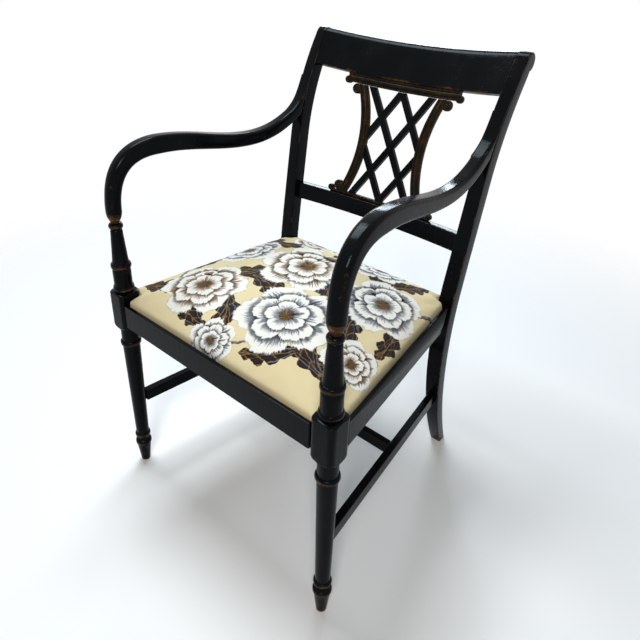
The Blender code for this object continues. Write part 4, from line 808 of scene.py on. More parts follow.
def crest_edge(x, depth):
    """Lower edge of the crest at x, a depth behind its front face."""
    point = yz(post_front(CREST_BOTTOM), CREST_BOTTOM) + post_normal(CREST_BOTTOM) * (CREST_SET_IN + depth)
    point = point + crest_bow(x / post_inner_x(CREST_BOTTOM))
    point.x = x
    return point


def mid_edge(x, depth):
    """Upper edge of the mid rail at x, a depth behind its front face."""
    point = yz(post_front(MID_TOP) + MID_SET_IN + depth, MID_TOP) + mid_bow(x / post_inner_x(MID_TOP))
    point.x = x
    return point


def rounded_section(corners, radius, steps):
    """A flat closed outline of (u, v, wear) with its corners rounded; wear is most at the corners."""
    outline = []
    count = len(corners)
    for k in range(count):
        here = Vector(corners[k])
        back = Vector(corners[k - 1]) - here
        ahead = Vector(corners[(k + 1) % count]) - here
        reach = min(radius, back.length * 0.48, ahead.length * 0.48)
        start = here + back.normalized() * reach
        end = here + ahead.normalized() * reach
        for step in range(steps + 1):
            t = step / steps
            point = start.lerp(here, t).lerp(here.lerp(end, t), t)
            outline.append((point.x, point.y, math.sin(math.pi * (0.15 + 0.7 * t))))
        middle = (here + Vector(corners[(k + 1) % count])) / 2
        outline.append((middle.x, middle.y, 0.0))
    return outline


def uneven(point, size, seed=0.0):
    """Smooth chance between 0 and 1 at a place."""
    return 0.5 + 0.5 * noise.noise(Vector(point) / size + Vector((seed, seed * 1.7, -seed)))


# Front legs

def bead(z, base, top, wear=0.75, steps=14):
    """Half round ring on a turned piece, as (height, radius, wear)."""
    points = []
    for k in range(steps + 1):
        angle = math.radians(-90 + 180 * k / steps)
        bulge = math.cos(angle)
        points.append((z + RING_HALF * math.sin(angle), base + (top - base) * bulge, wear * bulge ** 3))
    return points


def block_radius(angle):
    """Distance from the axis to the side of the block, a square with round corners."""
    c = abs(math.cos(angle))
    s = abs(math.sin(angle))
    flat = BLOCK_HALF - BLOCK_CORNER
    if min(c, s) * BLOCK_HALF <= max(c, s) * flat:
        return BLOCK_HALF / max(c, s)
    along = flat * (c + s)
    return along + math.sqrt(BLOCK_CORNER ** 2 - 2 * flat ** 2 + along ** 2)


def run(z0, r0, z1, r1, wear=0.1, steps=8):
    return [(lerp(z0, z1, k / steps), lerp(r0, r1, k / steps), wear) for k in range(1, steps)]


def leg_profile():
    """Turned profile from the foot up, as (height, radius, wear); the block is cut from its widest part."""
    groove = (FOOT_RING_Z + ANKLE_RING_Z) / 2
    base_ring = BLOCK_TOP + SHOULDER / 2 + RING_HALF
    corner = math.sqrt(2) * (BLOCK_HALF - BLOCK_CORNER) + BLOCK_CORNER
    profile = [(0.0, FOOT_TIP_R - 0.0012, 0.9), (0.0005, FOOT_TIP_R - 0.0004, 1.0), (0.0012, FOOT_TIP_R, 0.9)]
    profile += run(0.0012, FOOT_TIP_R, FOOT_RING_Z - RING_HALF, FOOT_TOP_R, 0.55)
    profile += bead(FOOT_RING_Z, FOOT_TOP_R, FOOT_RING_R)
    profile += [(groove - 0.001, SHAFT_LOW_R, 0.1), (groove, SHAFT_LOW_R - 0.0008, 0.0),
                (groove + 0.001, SHAFT_LOW_R, 0.1)]
    profile += bead(ANKLE_RING_Z, SHAFT_LOW_R, ANKLE_RING_R)
    profile += run(ANKLE_RING_Z + RING_HALF, SHAFT_LOW_R, KNEE_RING_Z - RING_HALF, SHAFT_TOP_R, 0.12, 16)
    profile += bead(KNEE_RING_Z, SHAFT_TOP_R, KNEE_RING_R)
    neck = BLOCK_BOTTOM - SHOULDER
    profile += run(KNEE_RING_Z + RING_HALF, SHAFT_TOP_R, neck, NECK_R, 0.1, 5)
    for k in range(15):
        t = k / 14
        profile.append((neck + SHOULDER * t, lerp(NECK_R, corner + 0.0002, math.sin(t * math.pi / 2)), 0.45))
    profile += run(BLOCK_BOTTOM, corner + 0.0002, BLOCK_TOP, corner + 0.0002, 0.35, 6)
    for k in range(13):
        t = k / 12
        top = BLOCK_TOP + SHOULDER / 2 * t
        profile.append((top, lerp(corner + 0.0002, NECK_R + 0.0004, 1.0 - math.cos(t * math.pi / 2)), 0.45 * (1.0 - t)))
    profile += bead(base_ring, CYLINDER_R, BASE_RING_R)
    profile += run(base_ring + RING_HALF, CYLINDER_R, SEAT_RING_Z - RING_HALF, CYLINDER_R, 0.12)
    profile += bead(SEAT_RING_Z, (CYLINDER_R + COLUMN_LOW_R) / 2, SEAT_RING_R)
    profile += [(SEAT_RING_Z + 2 * RING_HALF, COLUMN_LOW_R, 0.1)]
    profile += run(SEAT_RING_Z + 2 * RING_HALF, COLUMN_LOW_R, CUP_RING_Z - 1.5 * RING_HALF, COLUMN_TOP_R, 0.15, 10)
    profile += [(CUP_RING_Z - 1.5 * RING_HALF, COLUMN_TOP_R, 0.1)]
    profile += bead(CUP_RING_Z, CUP_NECK_R + CUP_LIP, CUP_RING_R)
    low = CUP_RING_Z + RING_HALF + CUP_LIP
    for k in range(13):
        t = k / 12
        profile.append((lerp(low, CUP_TOP - CUP_LIP, t), lerp(CUP_NECK_R, CUP_R, math.sin(t * math.pi / 2)), 0.85))
    return profile + [(CUP_TOP - CUP_LIP / 3, CUP_R, 0.8), (CUP_TOP, CUP_R - 0.0004, 0.7)]


def front_leg(side, name):
    """Front leg and arm support, turned in one piece with a square block for the rails."""
    sides = 64
    rings = []
    for z, radius, amount in leg_profile():
        ring = []
        for k in range(sides):
            angle = math.tau * k / sides
            reach = min(radius, block_radius(angle)) if radius > NECK_R + 0.003 else radius
            point = Vector((side * leg_x(z) + reach * math.cos(angle), FRONT_LEG_Y + reach * math.sin(angle), z))
            ring.append((point, amount * (0.55 + 0.6 * uneven(point, 0.03, side))))
        rings.append(ring)
    return frame_piece(loft("turned_" + name, rings, TURNED_SHARP), name)


# Back posts

POST_HALF = 0.0130


def post_ring(side, front, back):
    """Rounded section of a post from a front point to a back point, as (point, wear)."""
    length = (back - front).length
    along = (back - front) / length
    corners = [(-POST_HALF, 0.0), (POST_HALF, 0.0), (POST_HALF, length), (-POST_HALF, length)]
    ring = []
    for u, v, amount in rounded_section(corners, min(POST_EDGE, length / 3), 5):
        point = front + along * v
        x = post_x(point.z) + u / POST_HALF * post_width(point.z) / 2
        ring.append((Vector((side * x, point.y, point.z)), amount))
    return ring


def back_post(side, name):
    """Back post from its swept foot to the roll at its top."""
    centre, touch_z = scroll(0.0, SCROLL_R)
    last = math.radians(-80)
    notch = centre + yz(math.cos(last), math.sin(last)) * SCROLL_R
    spans = []
    steps = 96
    for k in range(steps):
        z = notch.z * k / steps
        spans.append((yz(post_front(z), z), yz(post_back(z), z)))
    spans += [(yz(post_front(notch.z), notch.z), notch), (yz(post_front(touch_z), touch_z), notch)]
    spans += [(point, notch) for point in scroll_arc(centre, SCROLL_R, touch_z, last, 30)[:-1]]
    rings = []
    for front, back in spans:
        near_foot = 0.35 * (1.0 - ease(front.z / 0.06))
        rings.append([(point, 0.62 * amount * (0.35 + uneven(point, 0.035, 3 * side)) + near_foot)
                      for point, amount in post_ring(side, front, back)])
    return frame_piece(loft("shaped_" + name, rings), name)


# Arms

def arm_x(y):
    """Middle of the arm, from the leg to the post, drawn in a little between."""
    end_y = post_front(ARM_END_Z)
    share = min(max((y - FRONT_LEG_Y) / (end_y - FRONT_LEG_Y), 0.0), 1.0)
    return lerp(FRONT_LEG_X, post_x(ARM_END_Z), share) - ARM_BOW * math.sin(math.pi * share)


def arm_line():
    """Middle line of the free arm as (point, tangent, thickness, width, edge radius)."""
    start = yz(FRONT_LEG_Y, CUP_TOP + CLEARANCE)
    crown = yz(ARM_CROWN_Y, ARM_CROWN_Z)
    dip = yz(ARM_DIP_Y, ARM_DIP_Z)
    end = yz(post_front(ARM_END_Z) - ARM_END_SPACE, ARM_END_Z)
    rise = yz(math.cos(math.radians(ARM_END_ANGLE)), math.sin(math.radians(ARM_END_ANGLE)))
    runs = (
        (start, yz(0, ARM_FRONT_HANDLE), yz(ARM_CROWN_HANDLE, 0), crown, 34,
         (ARM_START_WIDTH, ARM_CROWN_THICKNESS), (ARM_START_WIDTH, ARM_WIDTH), (ARM_START_WIDTH / 2, ARM_EDGE)),
        (crown, yz(ARM_DIP_HANDLE, 0), yz(ARM_DIP_HANDLE, 0), dip, 26,
         (ARM_CROWN_THICKNESS, ARM_DIP_THICKNESS), (ARM_WIDTH, ARM_WIDTH), (ARM_EDGE, ARM_EDGE)),
        (dip, yz(ARM_END_HANDLE, 0), rise * ARM_END_HANDLE, end, 14,
         (ARM_DIP_THICKNESS, ARM_END_THICKNESS), (ARM_WIDTH, post_width(ARM_END_Z)), (ARM_EDGE, ARM_EDGE)))
    line = []
    for p0, out, into, p3, steps, thickness, width, edge in runs:
        for k in range(0 if p0 is start else 1, steps + 1):
            t = k / steps
            point = bezier(p0, p0 + out, p3 - into, p3, t)
            ahead = bezier(p0, p0 + out, p3 - into, p3, t + STEP)
            line.append((point, (ahead - point).normalized(), lerp(*thickness, t), lerp(*width, t), lerp(*edge, t)))
    return line


def arm_ring(side, low, high, x, width, edge):
    """Rounded section of an arm between its lower and upper points, as (point, wear)."""
    thickness = (high - low).length
    up = (high - low).normalized()
    radius = min(edge, thickness * 0.45, width * 0.499)
    ring = []
    for turn, su, sv in ((0, 1, 1), (1, -1, 1), (2, -1, -1), (3, 1, -1)):
        for k in range(9):
            angle = math.radians(90 * turn + 90 * k / 8)
            u = su * (width / 2 - radius) + radius * math.cos(angle)
            v = sv * (thickness / 2 - radius) + radius * math.sin(angle)
            point = (low + high) / 2 + up * v
            amount = math.sin(math.pi * k / 8) * (1.0 if sv > 0 else 0.6)
            ring.append((Vector((side * (x + u), point.y, point.z)), amount))
    return ring


def arm(side, name):
    """Open arm from the cup on the leg to its thin tip up the post."""
    spans = []
    for point, tangent, thickness, width, edge in arm_line():
        up = yz(-tangent.z, tangent.y) * (thickness / 2)
        spans.append((point - up, point + up, arm_x(point.y), width, edge))
    # The end runs up the front of the post and thins out to its tip.
    point, tangent = arm_line()[-1][:2]
    upper = point + yz(-tangent.z, tangent.y) * (ARM_END_THICKNESS / 2)
    normal = post_normal(ARM_TIP_Z)
    tip = yz(post_front(ARM_TIP_Z) - CLEARANCE, ARM_TIP_Z) - normal * ARM_TIP_THICKNESS
    along_post = yz(-normal.z, normal.y)
    for k in range(1, 25):
        t = k / 24
        high = bezier(upper, upper + tangent * ARM_END_HANDLE, tip - along_post * ARM_END_HANDLE, tip, t)
        z = lerp(ARM_END_Z, ARM_TIP_Z, t)
        spans.append((yz(post_front(z) - CLEARANCE, z), high, post_x(z), post_width(z), lerp(ARM_EDGE, 0.0024, t)))
    rings = [[(point, 0.45 * amount * (0.3 + uneven(point, 0.03, 7 * side)))
              for point, amount in arm_ring(side, *span)] for span in spans]
    return frame_piece(loft("shaped_" + name, rings), name)


# Crest rail and mid rail

def crest_section():
    """Points (y, z) round the crest, with their wear: up the front, over the roll and down the back."""
    radius = SCROLL_R - CREST_SET_IN
    centre, touch_z = scroll(CREST_SET_IN, radius)
    front = []
    back = []
    for k in range(10):
        z = lerp(CREST_BOTTOM, touch_z, k / 9)
        face = yz(post_front(z), z)
        front.append(face + post_normal(z) * CREST_SET_IN)
        back.append(face + post_normal(z) * (CREST_SET_IN + CREST_THICKNESS))
    under = math.atan2(-post_normal(touch_z).y, post_normal(touch_z).z)
    roll = scroll_arc(centre, radius, touch_z, under, 30)
    back = [point for point in back if (point - centre).length > radius * 1.1]
    # The two lower edges are eased.
    ease_by = 0.0012
    low_front = front[0] + (back[0] - front[0]).normalized() * ease_by
    low_back = back[0] + (front[0] - back[0]).normalized() * ease_by
    front[0] = front[0].lerp(front[1], ease_by / (front[1] - front[0]).length)
    back[0] = back[0].lerp(back[1], ease_by / (back[1] - back[0]).length)
    section = [(low_front, 0.6), (front[0], 0.6)] + [(point, 0.05) for point in front[1:]]
    section += [(point, 0.30) for point in roll] + [(point, 0.1) for point in reversed(back)]
    return section + [(low_back, 0.5)]


def crest_rail():
    """Bowed crest with a roll along its top."""
    section = crest_section()
    rings = []
    for share in even_shares(64):
        ring = []
        for point, amount in section:
            moved = point + crest_bow(share)
            moved.x = share * (post_inner_x(point.z) - CLEARANCE)
            ring.append((moved, amount * (0.4 + uneven(moved, 0.03))))
        rings.append(ring)
    return frame_piece(loft("shaped_crest_rail", rings), "crest_rail")


def mid_rail():
    """Bowed lower rail of the back."""
    height = MID_TOP - MID_BOTTOM
    section = rounded_section([(0, 0), (0, height), (MID_THICKNESS, height), (MID_THICKNESS, 0)], 0.0016, 4)
    rings = []
    for share in even_shares(48):
        ring = []
        for depth, rise, amount in section:
            z = MID_BOTTOM + rise
            point = yz(post_front(z) + MID_SET_IN + depth, z) + mid_bow(share)
            point.x = share * (post_inner_x(z) - CLEARANCE)
            ring.append((point, 0.6 * amount * (0.4 + uneven(point, 0.03))))
        rings.append(ring)
    return frame_piece(loft("shaped_mid_rail", rings), "mid_rail")


# Splat

def splat_up():
    """Direction up the middle of the splat."""
    return (crest_edge(0.0, SPLAT_SET_IN) - mid_edge(0.0, BASE_BAR_SET_IN)).normalized()


def splat_back():
    up = splat_up()
    return Vector((0.0, up.z, -up.y))


def top_bar_low(x):
    return crest_edge(x, SPLAT_SET_IN) - splat_up() * (TOP_BAR_HEIGHT + CLEARANCE)


def base_bar_top(x):
    return mid_edge(x, BASE_BAR_SET_IN) + Vector((0.0, 0.0, BASE_BAR_HEIGHT + CLEARANCE))


def splat_height():
    return (top_bar_low(0.0) - base_bar_top(0.0)).length


def splat_point(x, height, depth):
    """A place in the splat: across, up from the base bar, and back from its front face."""
    return base_bar_top(x).lerp(top_bar_low(x), height / splat_height()) + splat_back() * depth


def side_middle(height):
    share = 2.0 * height / splat_height() - 1.0
    return lerp(SIDE_WAIST_X, SIDE_END_X, share ** 2)


def side_volute(at_top):
    """Middle of a side piece's volute, as (x, height)."""
    low = SIDE_VOLUTE_R + CLEARANCE
    height = splat_height() - low if at_top else low
    return side_middle(height) + SIDE_VOLUTE_OUT, height


def base_volute_height():
    return BASE_VOLUTE_R - BASE_BAR_HEIGHT + CLEARANCE + SPLAT_THICKNESS * splat_up().y


def base_bar_half():
    x, height = side_volute(False)
    reach = SIDE_VOLUTE_R + BASE_VOLUTE_R
    return x + math.sqrt(max(reach ** 2 - (height - base_volute_height()) ** 2, 0.0)) + BASE_BAR_SPACE


def moulding(u):
    """Depth and wear of a moulded front at a share of its half width: a bead between two grooves."""
    u = abs(u)
    if u > 0.93:
        return lerp(0.0006, 0.0016, (u - 0.93) / 0.07), 0.7
    if u > 0.52:
        return 0.0006, 0.28
    if u > 0.36:
        return 0.0006 + 0.0013 * math.sin(math.pi * (u - 0.36) / 0.16), 0.0
    return 0.0012 * (u / 0.36) ** 2, 0.55 * (1.0 - u)


BACK_WEAR = 0.3
MOULD = [-1.0, -0.97, -0.93, -0.72] + [k / 25 - 0.56 for k in range(29)] + [0.72, 0.93, 0.97, 1.0]


def volute(x, height, radius, way, back):
    """Points, faces and wear of a flat volute with a spiral ridge that turns one way."""
    sides = 40
    radii = [1.0, 1.0, 0.97, 0.92] + [0.88 - 0.055 * k for k in range(15)]
    rings = []
    for row, share in enumerate(radii):
        ring = []
        for k in range(sides):
            turn = math.tau * k / sides
            wave = 0.5 - 0.5 * math.cos(math.tau * (share * 1.7 - way * k / sides))
            depth = (back, 0.0016, 0.0009, 0.0006)[row] if row < 4 else 0.0002 + 0.0013 * wave * ease(share * 2.2)
            point = splat_point(x + radius * share * math.cos(turn), height + radius * share * math.sin(turn), depth)
            ring.append((point, 0.45 * (1.0 - wave)))
        rings.append(ring)
    return shell(rings)


def moulded(place):
    """Moulded front of a section, as (point, wear); place gives a point at a share of its half width and a depth."""
    ring = []
    for u in MOULD:
        depth, amount = moulding(u)
        point = place(u, depth)
        ring.append((point, amount * (0.5 + 0.8 * uneven(point, 0.02))))
    return ring


def side_ring(side, height):
    """Section of a splat side, whose two back edges are eased."""
    middle = side_middle(height)

    def place(u, depth):
        return splat_point(side * (middle + u * SIDE_WIDTH / 2), height, depth)

    eased_back = ((1.0, 0.001), (0.9, 0.0), (-0.9, 0.0), (-1.0, 0.001))
    return moulded(place) + [(place(u, SPLAT_THICKNESS - edge), BACK_WEAR) for u, edge in eased_back]


def splat_side(side, name):
    """Bent side of the splat, moulded on its front, with a volute at each end."""
    steps = 60
    shells = [shell([side_ring(side, lerp(CLEARANCE, splat_height() - CLEARANCE, k / steps))
                     for k in range(steps + 1)])]
    for at_top in (False, True):
        x, height = side_volute(at_top)
        shells.append(volute(side * x, height, SIDE_VOLUTE_R, side if at_top else -side, SPLAT_THICKNESS))
    return splat_piece(joined("moulded_" + name, shells), name)


def bar_ring(low, high, far, near):
    """Section of a splat bar between its four corners."""
    front = moulded(lambda u, depth: low.lerp(high, (u + 1) / 2) + splat_back() * depth)
    return front + [(far, BACK_WEAR), (near, BACK_WEAR)]


def splat_bar(name, half, ends, volutes):
    """A straight bar of the splat, moulded on its front; ends gives its four corners at x."""
    steps = 48
    rings = [bar_ring(*ends(lerp(-half, half, k / steps))) for k in range(steps + 1)]
    return splat_piece(joined("moulded_" + name, [shell(rings)] + volutes), name)


def splat_top_bar():
    """Bar under the crest, with a volute at each end."""
    drop = post_normal(CREST_BOTTOM) * CLEARANCE

    def ends(x):
        low = top_bar_low(x)
        lift = yz(-drop.z, drop.y)
        return (low, crest_edge(x, SPLAT_SET_IN) - lift, crest_edge(x, SPLAT_SET_IN + SPLAT_THICKNESS) - lift,
                low + splat_back() * SPLAT_THICKNESS)

    height = splat_height() + BAR_VOLUTE_R * 0.5
    rolls = [volute(side * TOP_BAR_HALF, height, BAR_VOLUTE_R, side, SPLAT_THICKNESS) for side in (-1, 1)]
    return splat_bar("splat_top_bar", TOP_BAR_HALF, ends, rolls)


def splat_base_bar():
    """Bar on the mid rail, with a volute at each end."""
    half = base_bar_half()

    def ends(x):
        top = base_bar_top(x)
        foot = top - Vector((0.0, 0.0, BASE_BAR_HEIGHT))
        return foot, top, top + splat_back() * SPLAT_THICKNESS, foot + Vector((0.0, SPLAT_THICKNESS, 0.0))

    rolls = [volute(side * half, base_volute_height(), BASE_VOLUTE_R, -side, SPLAT_THICKNESS) for side in (-1, 1)]
    return splat_bar("splat_base_bar", half, ends, rolls)


# Drop-in seat

SEAT_FRONT_Y = FRONT_RAIL_Y + LIP + SEAT_PLAY
SEAT_BACK_Y = post_front(RAIL_TOP) + BACK_RAIL_SET_IN + RAIL_THICKNESS - LIP - SEAT_PLAY
NOTCH_X = FRONT_LEG_X - BLOCK_HALF - SEAT_PLAY
NOTCH_Y = FRONT_LEG_Y + BLOCK_HALF + SEAT_PLAY
POST_NOTCH_X = post_inner_x(SWEEP_TOP) - SEAT_PLAY
POST_NOTCH_Y = post_front(SWEEP_TOP) - SEAT_PLAY
SEAT_MIDDLE_Y = (SEAT_FRONT_Y + SEAT_BACK_Y) / 2
CROWN_RINGS = 26


def seat_side_x(y):
    return side_rail_x(y) - LIP - SEAT_PLAY


def seat_outline(inset, spacing):
    """Seat plan as a closed ring of points, set in from the cover; long edges are drawn in between the corners."""
    half = [(0.0, SEAT_FRONT_Y + inset), (NOTCH_X - inset, SEAT_FRONT_Y + inset),
            (NOTCH_X - inset, NOTCH_Y + inset), (seat_side_x(NOTCH_Y) - inset, NOTCH_Y + inset),
            (seat_side_x(POST_NOTCH_Y) - inset, POST_NOTCH_Y - inset),
            (POST_NOTCH_X - inset, POST_NOTCH_Y - inset), (POST_NOTCH_X - inset, SEAT_BACK_Y - inset),
            (0.0, SEAT_BACK_Y - inset)]
    right = []
    for k in range(len(half) - 1):
        a = Vector(half[k])
        b = Vector(half[k + 1])
        long_edge = (b - a).length > 0.05
        count = max(int((b - a).length / spacing), 2)
        inward = Vector((a.y - b.y, b.x - a.x)).normalized()
        for step in range(count):
            t = step / count
            draw = 0.0
            if long_edge:
                draw = math.sin(math.pi * t)
                if k in (0, len(half) - 2):
                    draw = math.cos(math.pi * (t if k == 0 else 1.0 - t) / 2)
            right.append(a.lerp(b, t) + inward * (draw * SEAT_SIDE_DRAW))
    right.append(Vector(half[-1]) + Vector((0.0, -SEAT_SIDE_DRAW)))
    return right + [Vector((-point.x, point.y)) for point in reversed(right[1:-1])]


def crown_solid(name):
    """Closed block of the seat: sides that stand in the rails and a crown like a well stuffed pad."""
    outline = seat_outline(0.0, 0.012)
    centre = Vector((0.0, SEAT_MIDDLE_Y))
    half_x = seat_side_x(centre.y)
    half_y = (SEAT_BACK_Y - SEAT_FRONT_Y) / 2
    rise = SEAT_EDGE_Z + seat_look().crown - SEAT_RIM_Z
    rings = [unworn(Vector((p.x, p.y, z)) for p in outline) for z in (SEAT_LOW_Z, SEAT_SIDE_Z, SEAT_RIM_Z)]
    for k in range(1, CROWN_RINGS):
        share = 1.0 - (k / CROWN_RINGS) ** 1.6
        ring = []
        for p in outline:
            around = math.atan2((p.y - centre.y) / half_y, p.x / half_x)
            smooth = Vector((half_x * math.cos(around), half_y * math.sin(around)))
            smooth *= (abs(math.cos(around)) ** 5 + abs(math.sin(around)) ** 5) ** -0.2
            place = centre + smooth.lerp(p - centre, share ** 4) * share
            ring.append(Vector((place.x, place.y, SEAT_RIM_Z + rise * (1.0 - share ** 3) ** 0.56)))
        rings.append(unworn(ring))
    return loft(name, rings)


CLOTH = {"quality": 4, "mass": 0.25, "tension_stiffness": 22, "compression_stiffness": 12, "shear_stiffness": 8,
         "bending_stiffness": 0.6, "use_pressure": True, "uniform_pressure_force": 4.0, "vertex_group_mass": "held"}
TICKS, HELD_BAND, DRAPE = 20, 0.010, 0.016


def swollen(piece, most):
    """Swell the pad with a short cloth simulation; its lower sides stay put."""
    rest = [vert.co.copy() for vert in piece.data.vertices]
    group = piece.vertex_groups.new(name="held")
    for vert in piece.data.vertices:
        group.add([vert.index], 1.0 - ease((vert.co.z - SEAT_RIM_Z) / HELD_BAND), "REPLACE")
    cloth = modifier(piece, "CLOTH")
    for name, value in CLOTH.items():
        setattr(cloth.settings, name, value)
    cloth.settings.effector_weights.gravity = 0.0
    cloth.collision_settings.use_collision = False
    scene = bpy.context.scene
    for tick in range(1, TICKS + 1):
        scene.frame_set(tick)
    settled(piece)
    scene.frame_set(1)
    applied(piece, "SMOOTH", factor=0.5, iterations=14, vertex_group="held", invert_vertex_group=True)
    for vert, start in zip(piece.data.vertices, rest):
        move = vert.co - start
        free = ease((start.z - SEAT_RIM_Z - 0.001) / HELD_BAND)
        if move.length > most:
            move = move.normalized() * most
        vert.co = start + move * free
    return piece


def paint_cloth(piece):
    """Each point's place on the flat cloth, so that the print runs over the edge and down the sides."""
    layer = piece.data.attributes.new("cloth", "FLOAT_VECTOR", "POINT")
    for vert, value in zip(piece.data.vertices, layer.data):
        drop = max(SEAT_EDGE_Z + DRAPE - vert.co.z, 0.0)
        plan = Vector((vert.normal.x, vert.normal.y))
        lean = plan.length
        away = plan.normalized() * (drop * 0.5 * ease(lean * 1.4)) if lean > 0.001 else plan
        value.vector = (vert.co.x + away.x, vert.co.y + away.y, 0.0)


RIPPLE, RIPPLE_SIZE, RIPPLE_Z, RIPPLE_BAND = 0.0010, 0.016, 0.404, 0.01


def seat_upholstery():
    """The stuffed seat in its cover, as one crowned skin that is open below."""
    look = seat_look()
    pad = crown_solid("seat_upholstery")
    applied(pad, "REMESH", mode="VOXEL", voxel_size=look.voxel)
    swollen(pad, look.swell)
    applied(pad, "SUBSURF", levels=1, render_levels=1)
    build = bmesh.new()
    build.from_mesh(pad.data)
    under = [face for face in build.faces if face.calc_center_median().z < SEAT_LOW_Z + 0.004 and face.normal.z < -0.6]
    bmesh.ops.delete(build, geom=under, context="FACES")
    build.to_mesh(pad.data)
    build.free()
    normals = [vert.normal.copy() for vert in pad.data.vertices]
    for vert, normal in zip(pad.data.vertices, normals):
        ripple = (uneven(vert.co, RIPPLE_SIZE, 5.0) - 0.5) * RIPPLE * ease((vert.co.z - RIPPLE_Z) / RIPPLE_BAND)
        vert.co = vert.co + normal * ripple
    paint_cloth(pad)
    applied(pad, "SOLIDIFY", thickness=CLOTH_THICKNESS, offset=-1.0)
    pad.data.shade_smooth()
    dress(pad, "seat", "printed_cotton", printed_cotton(), "seat_cover", "seat_pad")
    return pad


# The straps, the hessian and the turned-under edge of the cover

def sheet_between(name, low_ring, high_ring, z0, z1):
    """Flat band between two plan rings of equal count, with a thickness."""
    count = len(low_ring)
    points = [Vector((p.x, p.y, z)) for z in (z0, z1) for ring in (low_ring, high_ring) for p in ring]
    faces = []
    for k in range(count):
        m = (k + 1) % count
        a, b, c, d = 0, count, 2 * count, 3 * count
        faces += [(a + k, a + m, b + m, b + k), (c + k, d + k, d + m, c + m),
                  (a + k, c + k, c + m, a + m), (b + k, b + m, d + m, d + k)]
    return make_piece(name, points, faces)


# Drop and radius of a tack's rings, from its shank to the middle of its head
TACK = ((0.0006, 0.0011), (0.0, 0.0032), (-0.0004, 0.0030), (-0.0009, 0.0020), (-0.0011, 0.0008))
UNDER_CORNER_X, UNDER_CORNER_Y, UNDER_INSET, UNDER_REACH, UNDER_RAGGED = 0.16, 0.13, 0.0012, 0.024, 0.005


def towards_middle(gap, corner):
    """Share of a step inwards along one axis; past the corner's distance it is whole."""
    return math.copysign(1.0, gap) if abs(gap) > corner else gap / corner


def turned_under():
    """The strip of the cover that is drawn under the boards, and the tacks that hold it."""
    outer = seat_outline(UNDER_INSET, 0.008)
    inner = []
    for point in outer:
        gap = Vector((0.0, SEAT_MIDDLE_Y)) - point
        inward = Vector((towards_middle(gap.x, UNDER_CORNER_X), towards_middle(gap.y, UNDER_CORNER_Y)))
        reach = UNDER_REACH + UNDER_RAGGED * uneven((point.x, point.y, 0.0), 0.03, 2.0)
        inner.append(point + inward.normalized() * reach)
    strip = sheet_between("cover_turned_under", outer, inner, UNDER_LOW_Z, UNDER_HIGH_Z)
    layer = strip.data.attributes.new("cloth", "FLOAT_VECTOR", "POINT")
    for vert, value in zip(strip.data.vertices, layer.data):
        value.vector = (vert.co.x * 1.5, vert.co.y * 1.5, 0.0)
    dress(strip, "seat", "printed_cotton", printed_cotton())
    spots = [near.lerp(far, 0.72) for near, far in list(zip(outer, inner))[::3]]
    shells = [shell([unworn(circle(spot.x, spot.y, UNDER_LOW_Z + drop, radius, 10)) for drop, radius in TACK])
              for spot in spots]
    dress(joined("cover_tacks", shells), "seat", "steel", old_steel())


def strap(name, start, end, crossings, high_first):
    """Woven strap from start to end on two boards; it climbs over every other strap that it crosses."""
    along = (end - start).normalized()
    across = Vector((-along.y, along.x, 0.0)) * (STRAP_WIDTH / 2)
    length = (end - start).length
    rings = []
    steps = 72
    for k in range(steps + 1):
        distance = length * k / steps
        rise = 0.0
        for index, place in enumerate(crossings):
            if (index % 2 == 0) == high_first:
                gap = abs(distance - place) - STRAP_WIDTH / 2 - STRAP_CLEAR
                rise = max(rise, 1.0 - ease(gap / STRAP_CLIMB))
        middle = start + along * distance
        middle.z = lerp(LOW_STRAP_Z, HIGH_STRAP_Z, rise)
        up = Vector((0.0, 0.0, STRAP_THICKNESS))
        low = [middle + across * u for u in even_shares(16)]
        rings.append(unworn(low + [point + up for point in reversed(low)]))
    piece = loft("woven_" + name, rings)
    layer = piece.data.attributes.new("stripe", "FLOAT", "POINT")
    for vert, value in zip(piece.data.vertices, layer.data):
        off = (vert.co - start).dot(across.normalized())
        value.value = 1.0 if STRIPE_NEAR < abs(off) < STRIPE_FAR else 0.0
    dress(piece, "seat", "webbing", jute("webbing", tuple(seat_look().webbing), WEBBING_PITCH), name)
    return piece


def webbing():
    """Three straps each way, woven over and under."""
    xs = [STRAP_SPACING_X * k for k in (-1, 0, 1)]
    ys = [SEAT_MIDDLE_Y + STRAP_SPACING_Y * k for k in (-1, 0, 1)]
    front = SEAT_FRONT_Y + STRAP_SET_IN
    back = SEAT_BACK_Y - STRAP_SET_IN
    for index, x in enumerate(xs):
        strap("webbing_long_" + str(index + 1), Vector((x, front, 0.0)), Vector((x, back, 0.0)),
              [y - front for y in ys], index % 2 == 0)
    for index, y in enumerate(ys):
        reach = seat_side_x(y + STRAP_WIDTH / 2) - STRAP_SET_IN
        strap("webbing_cross_" + str(index + 1), Vector((-reach, y, 0.0)), Vector((reach, y, 0.0)),
              [x + reach for x in xs], index % 2 == 1)


def hessian():
    """Coarse cloth stretched over the straps, cut to the seat's plan."""
    outline = seat_outline(HESSIAN_INSET, 0.010)
    points = [Vector((p.x, p.y, HESSIAN_Z)) for p in outline]
    build = bmesh.new()
    build.faces.new([build.verts.new(point) for point in points])
    area = sum(face.calc_area() for face in build.faces)
    bmesh.ops.triangulate(build, faces=build.faces)
    mesh = bpy.data.meshes.new("hessian_base")
    build.to_mesh(mesh)
    build.free()
    piece = linked("hessian_cloth", mesh)
    applied(piece, "SOLIDIFY", thickness=CLOTH_THICKNESS, offset=1.0)
    dress(piece, "seat", "hessian", jute("hessian", tuple(seat_look().hessian), HESSIAN_PITCH), "hessian_base")
    return piece


# Stage

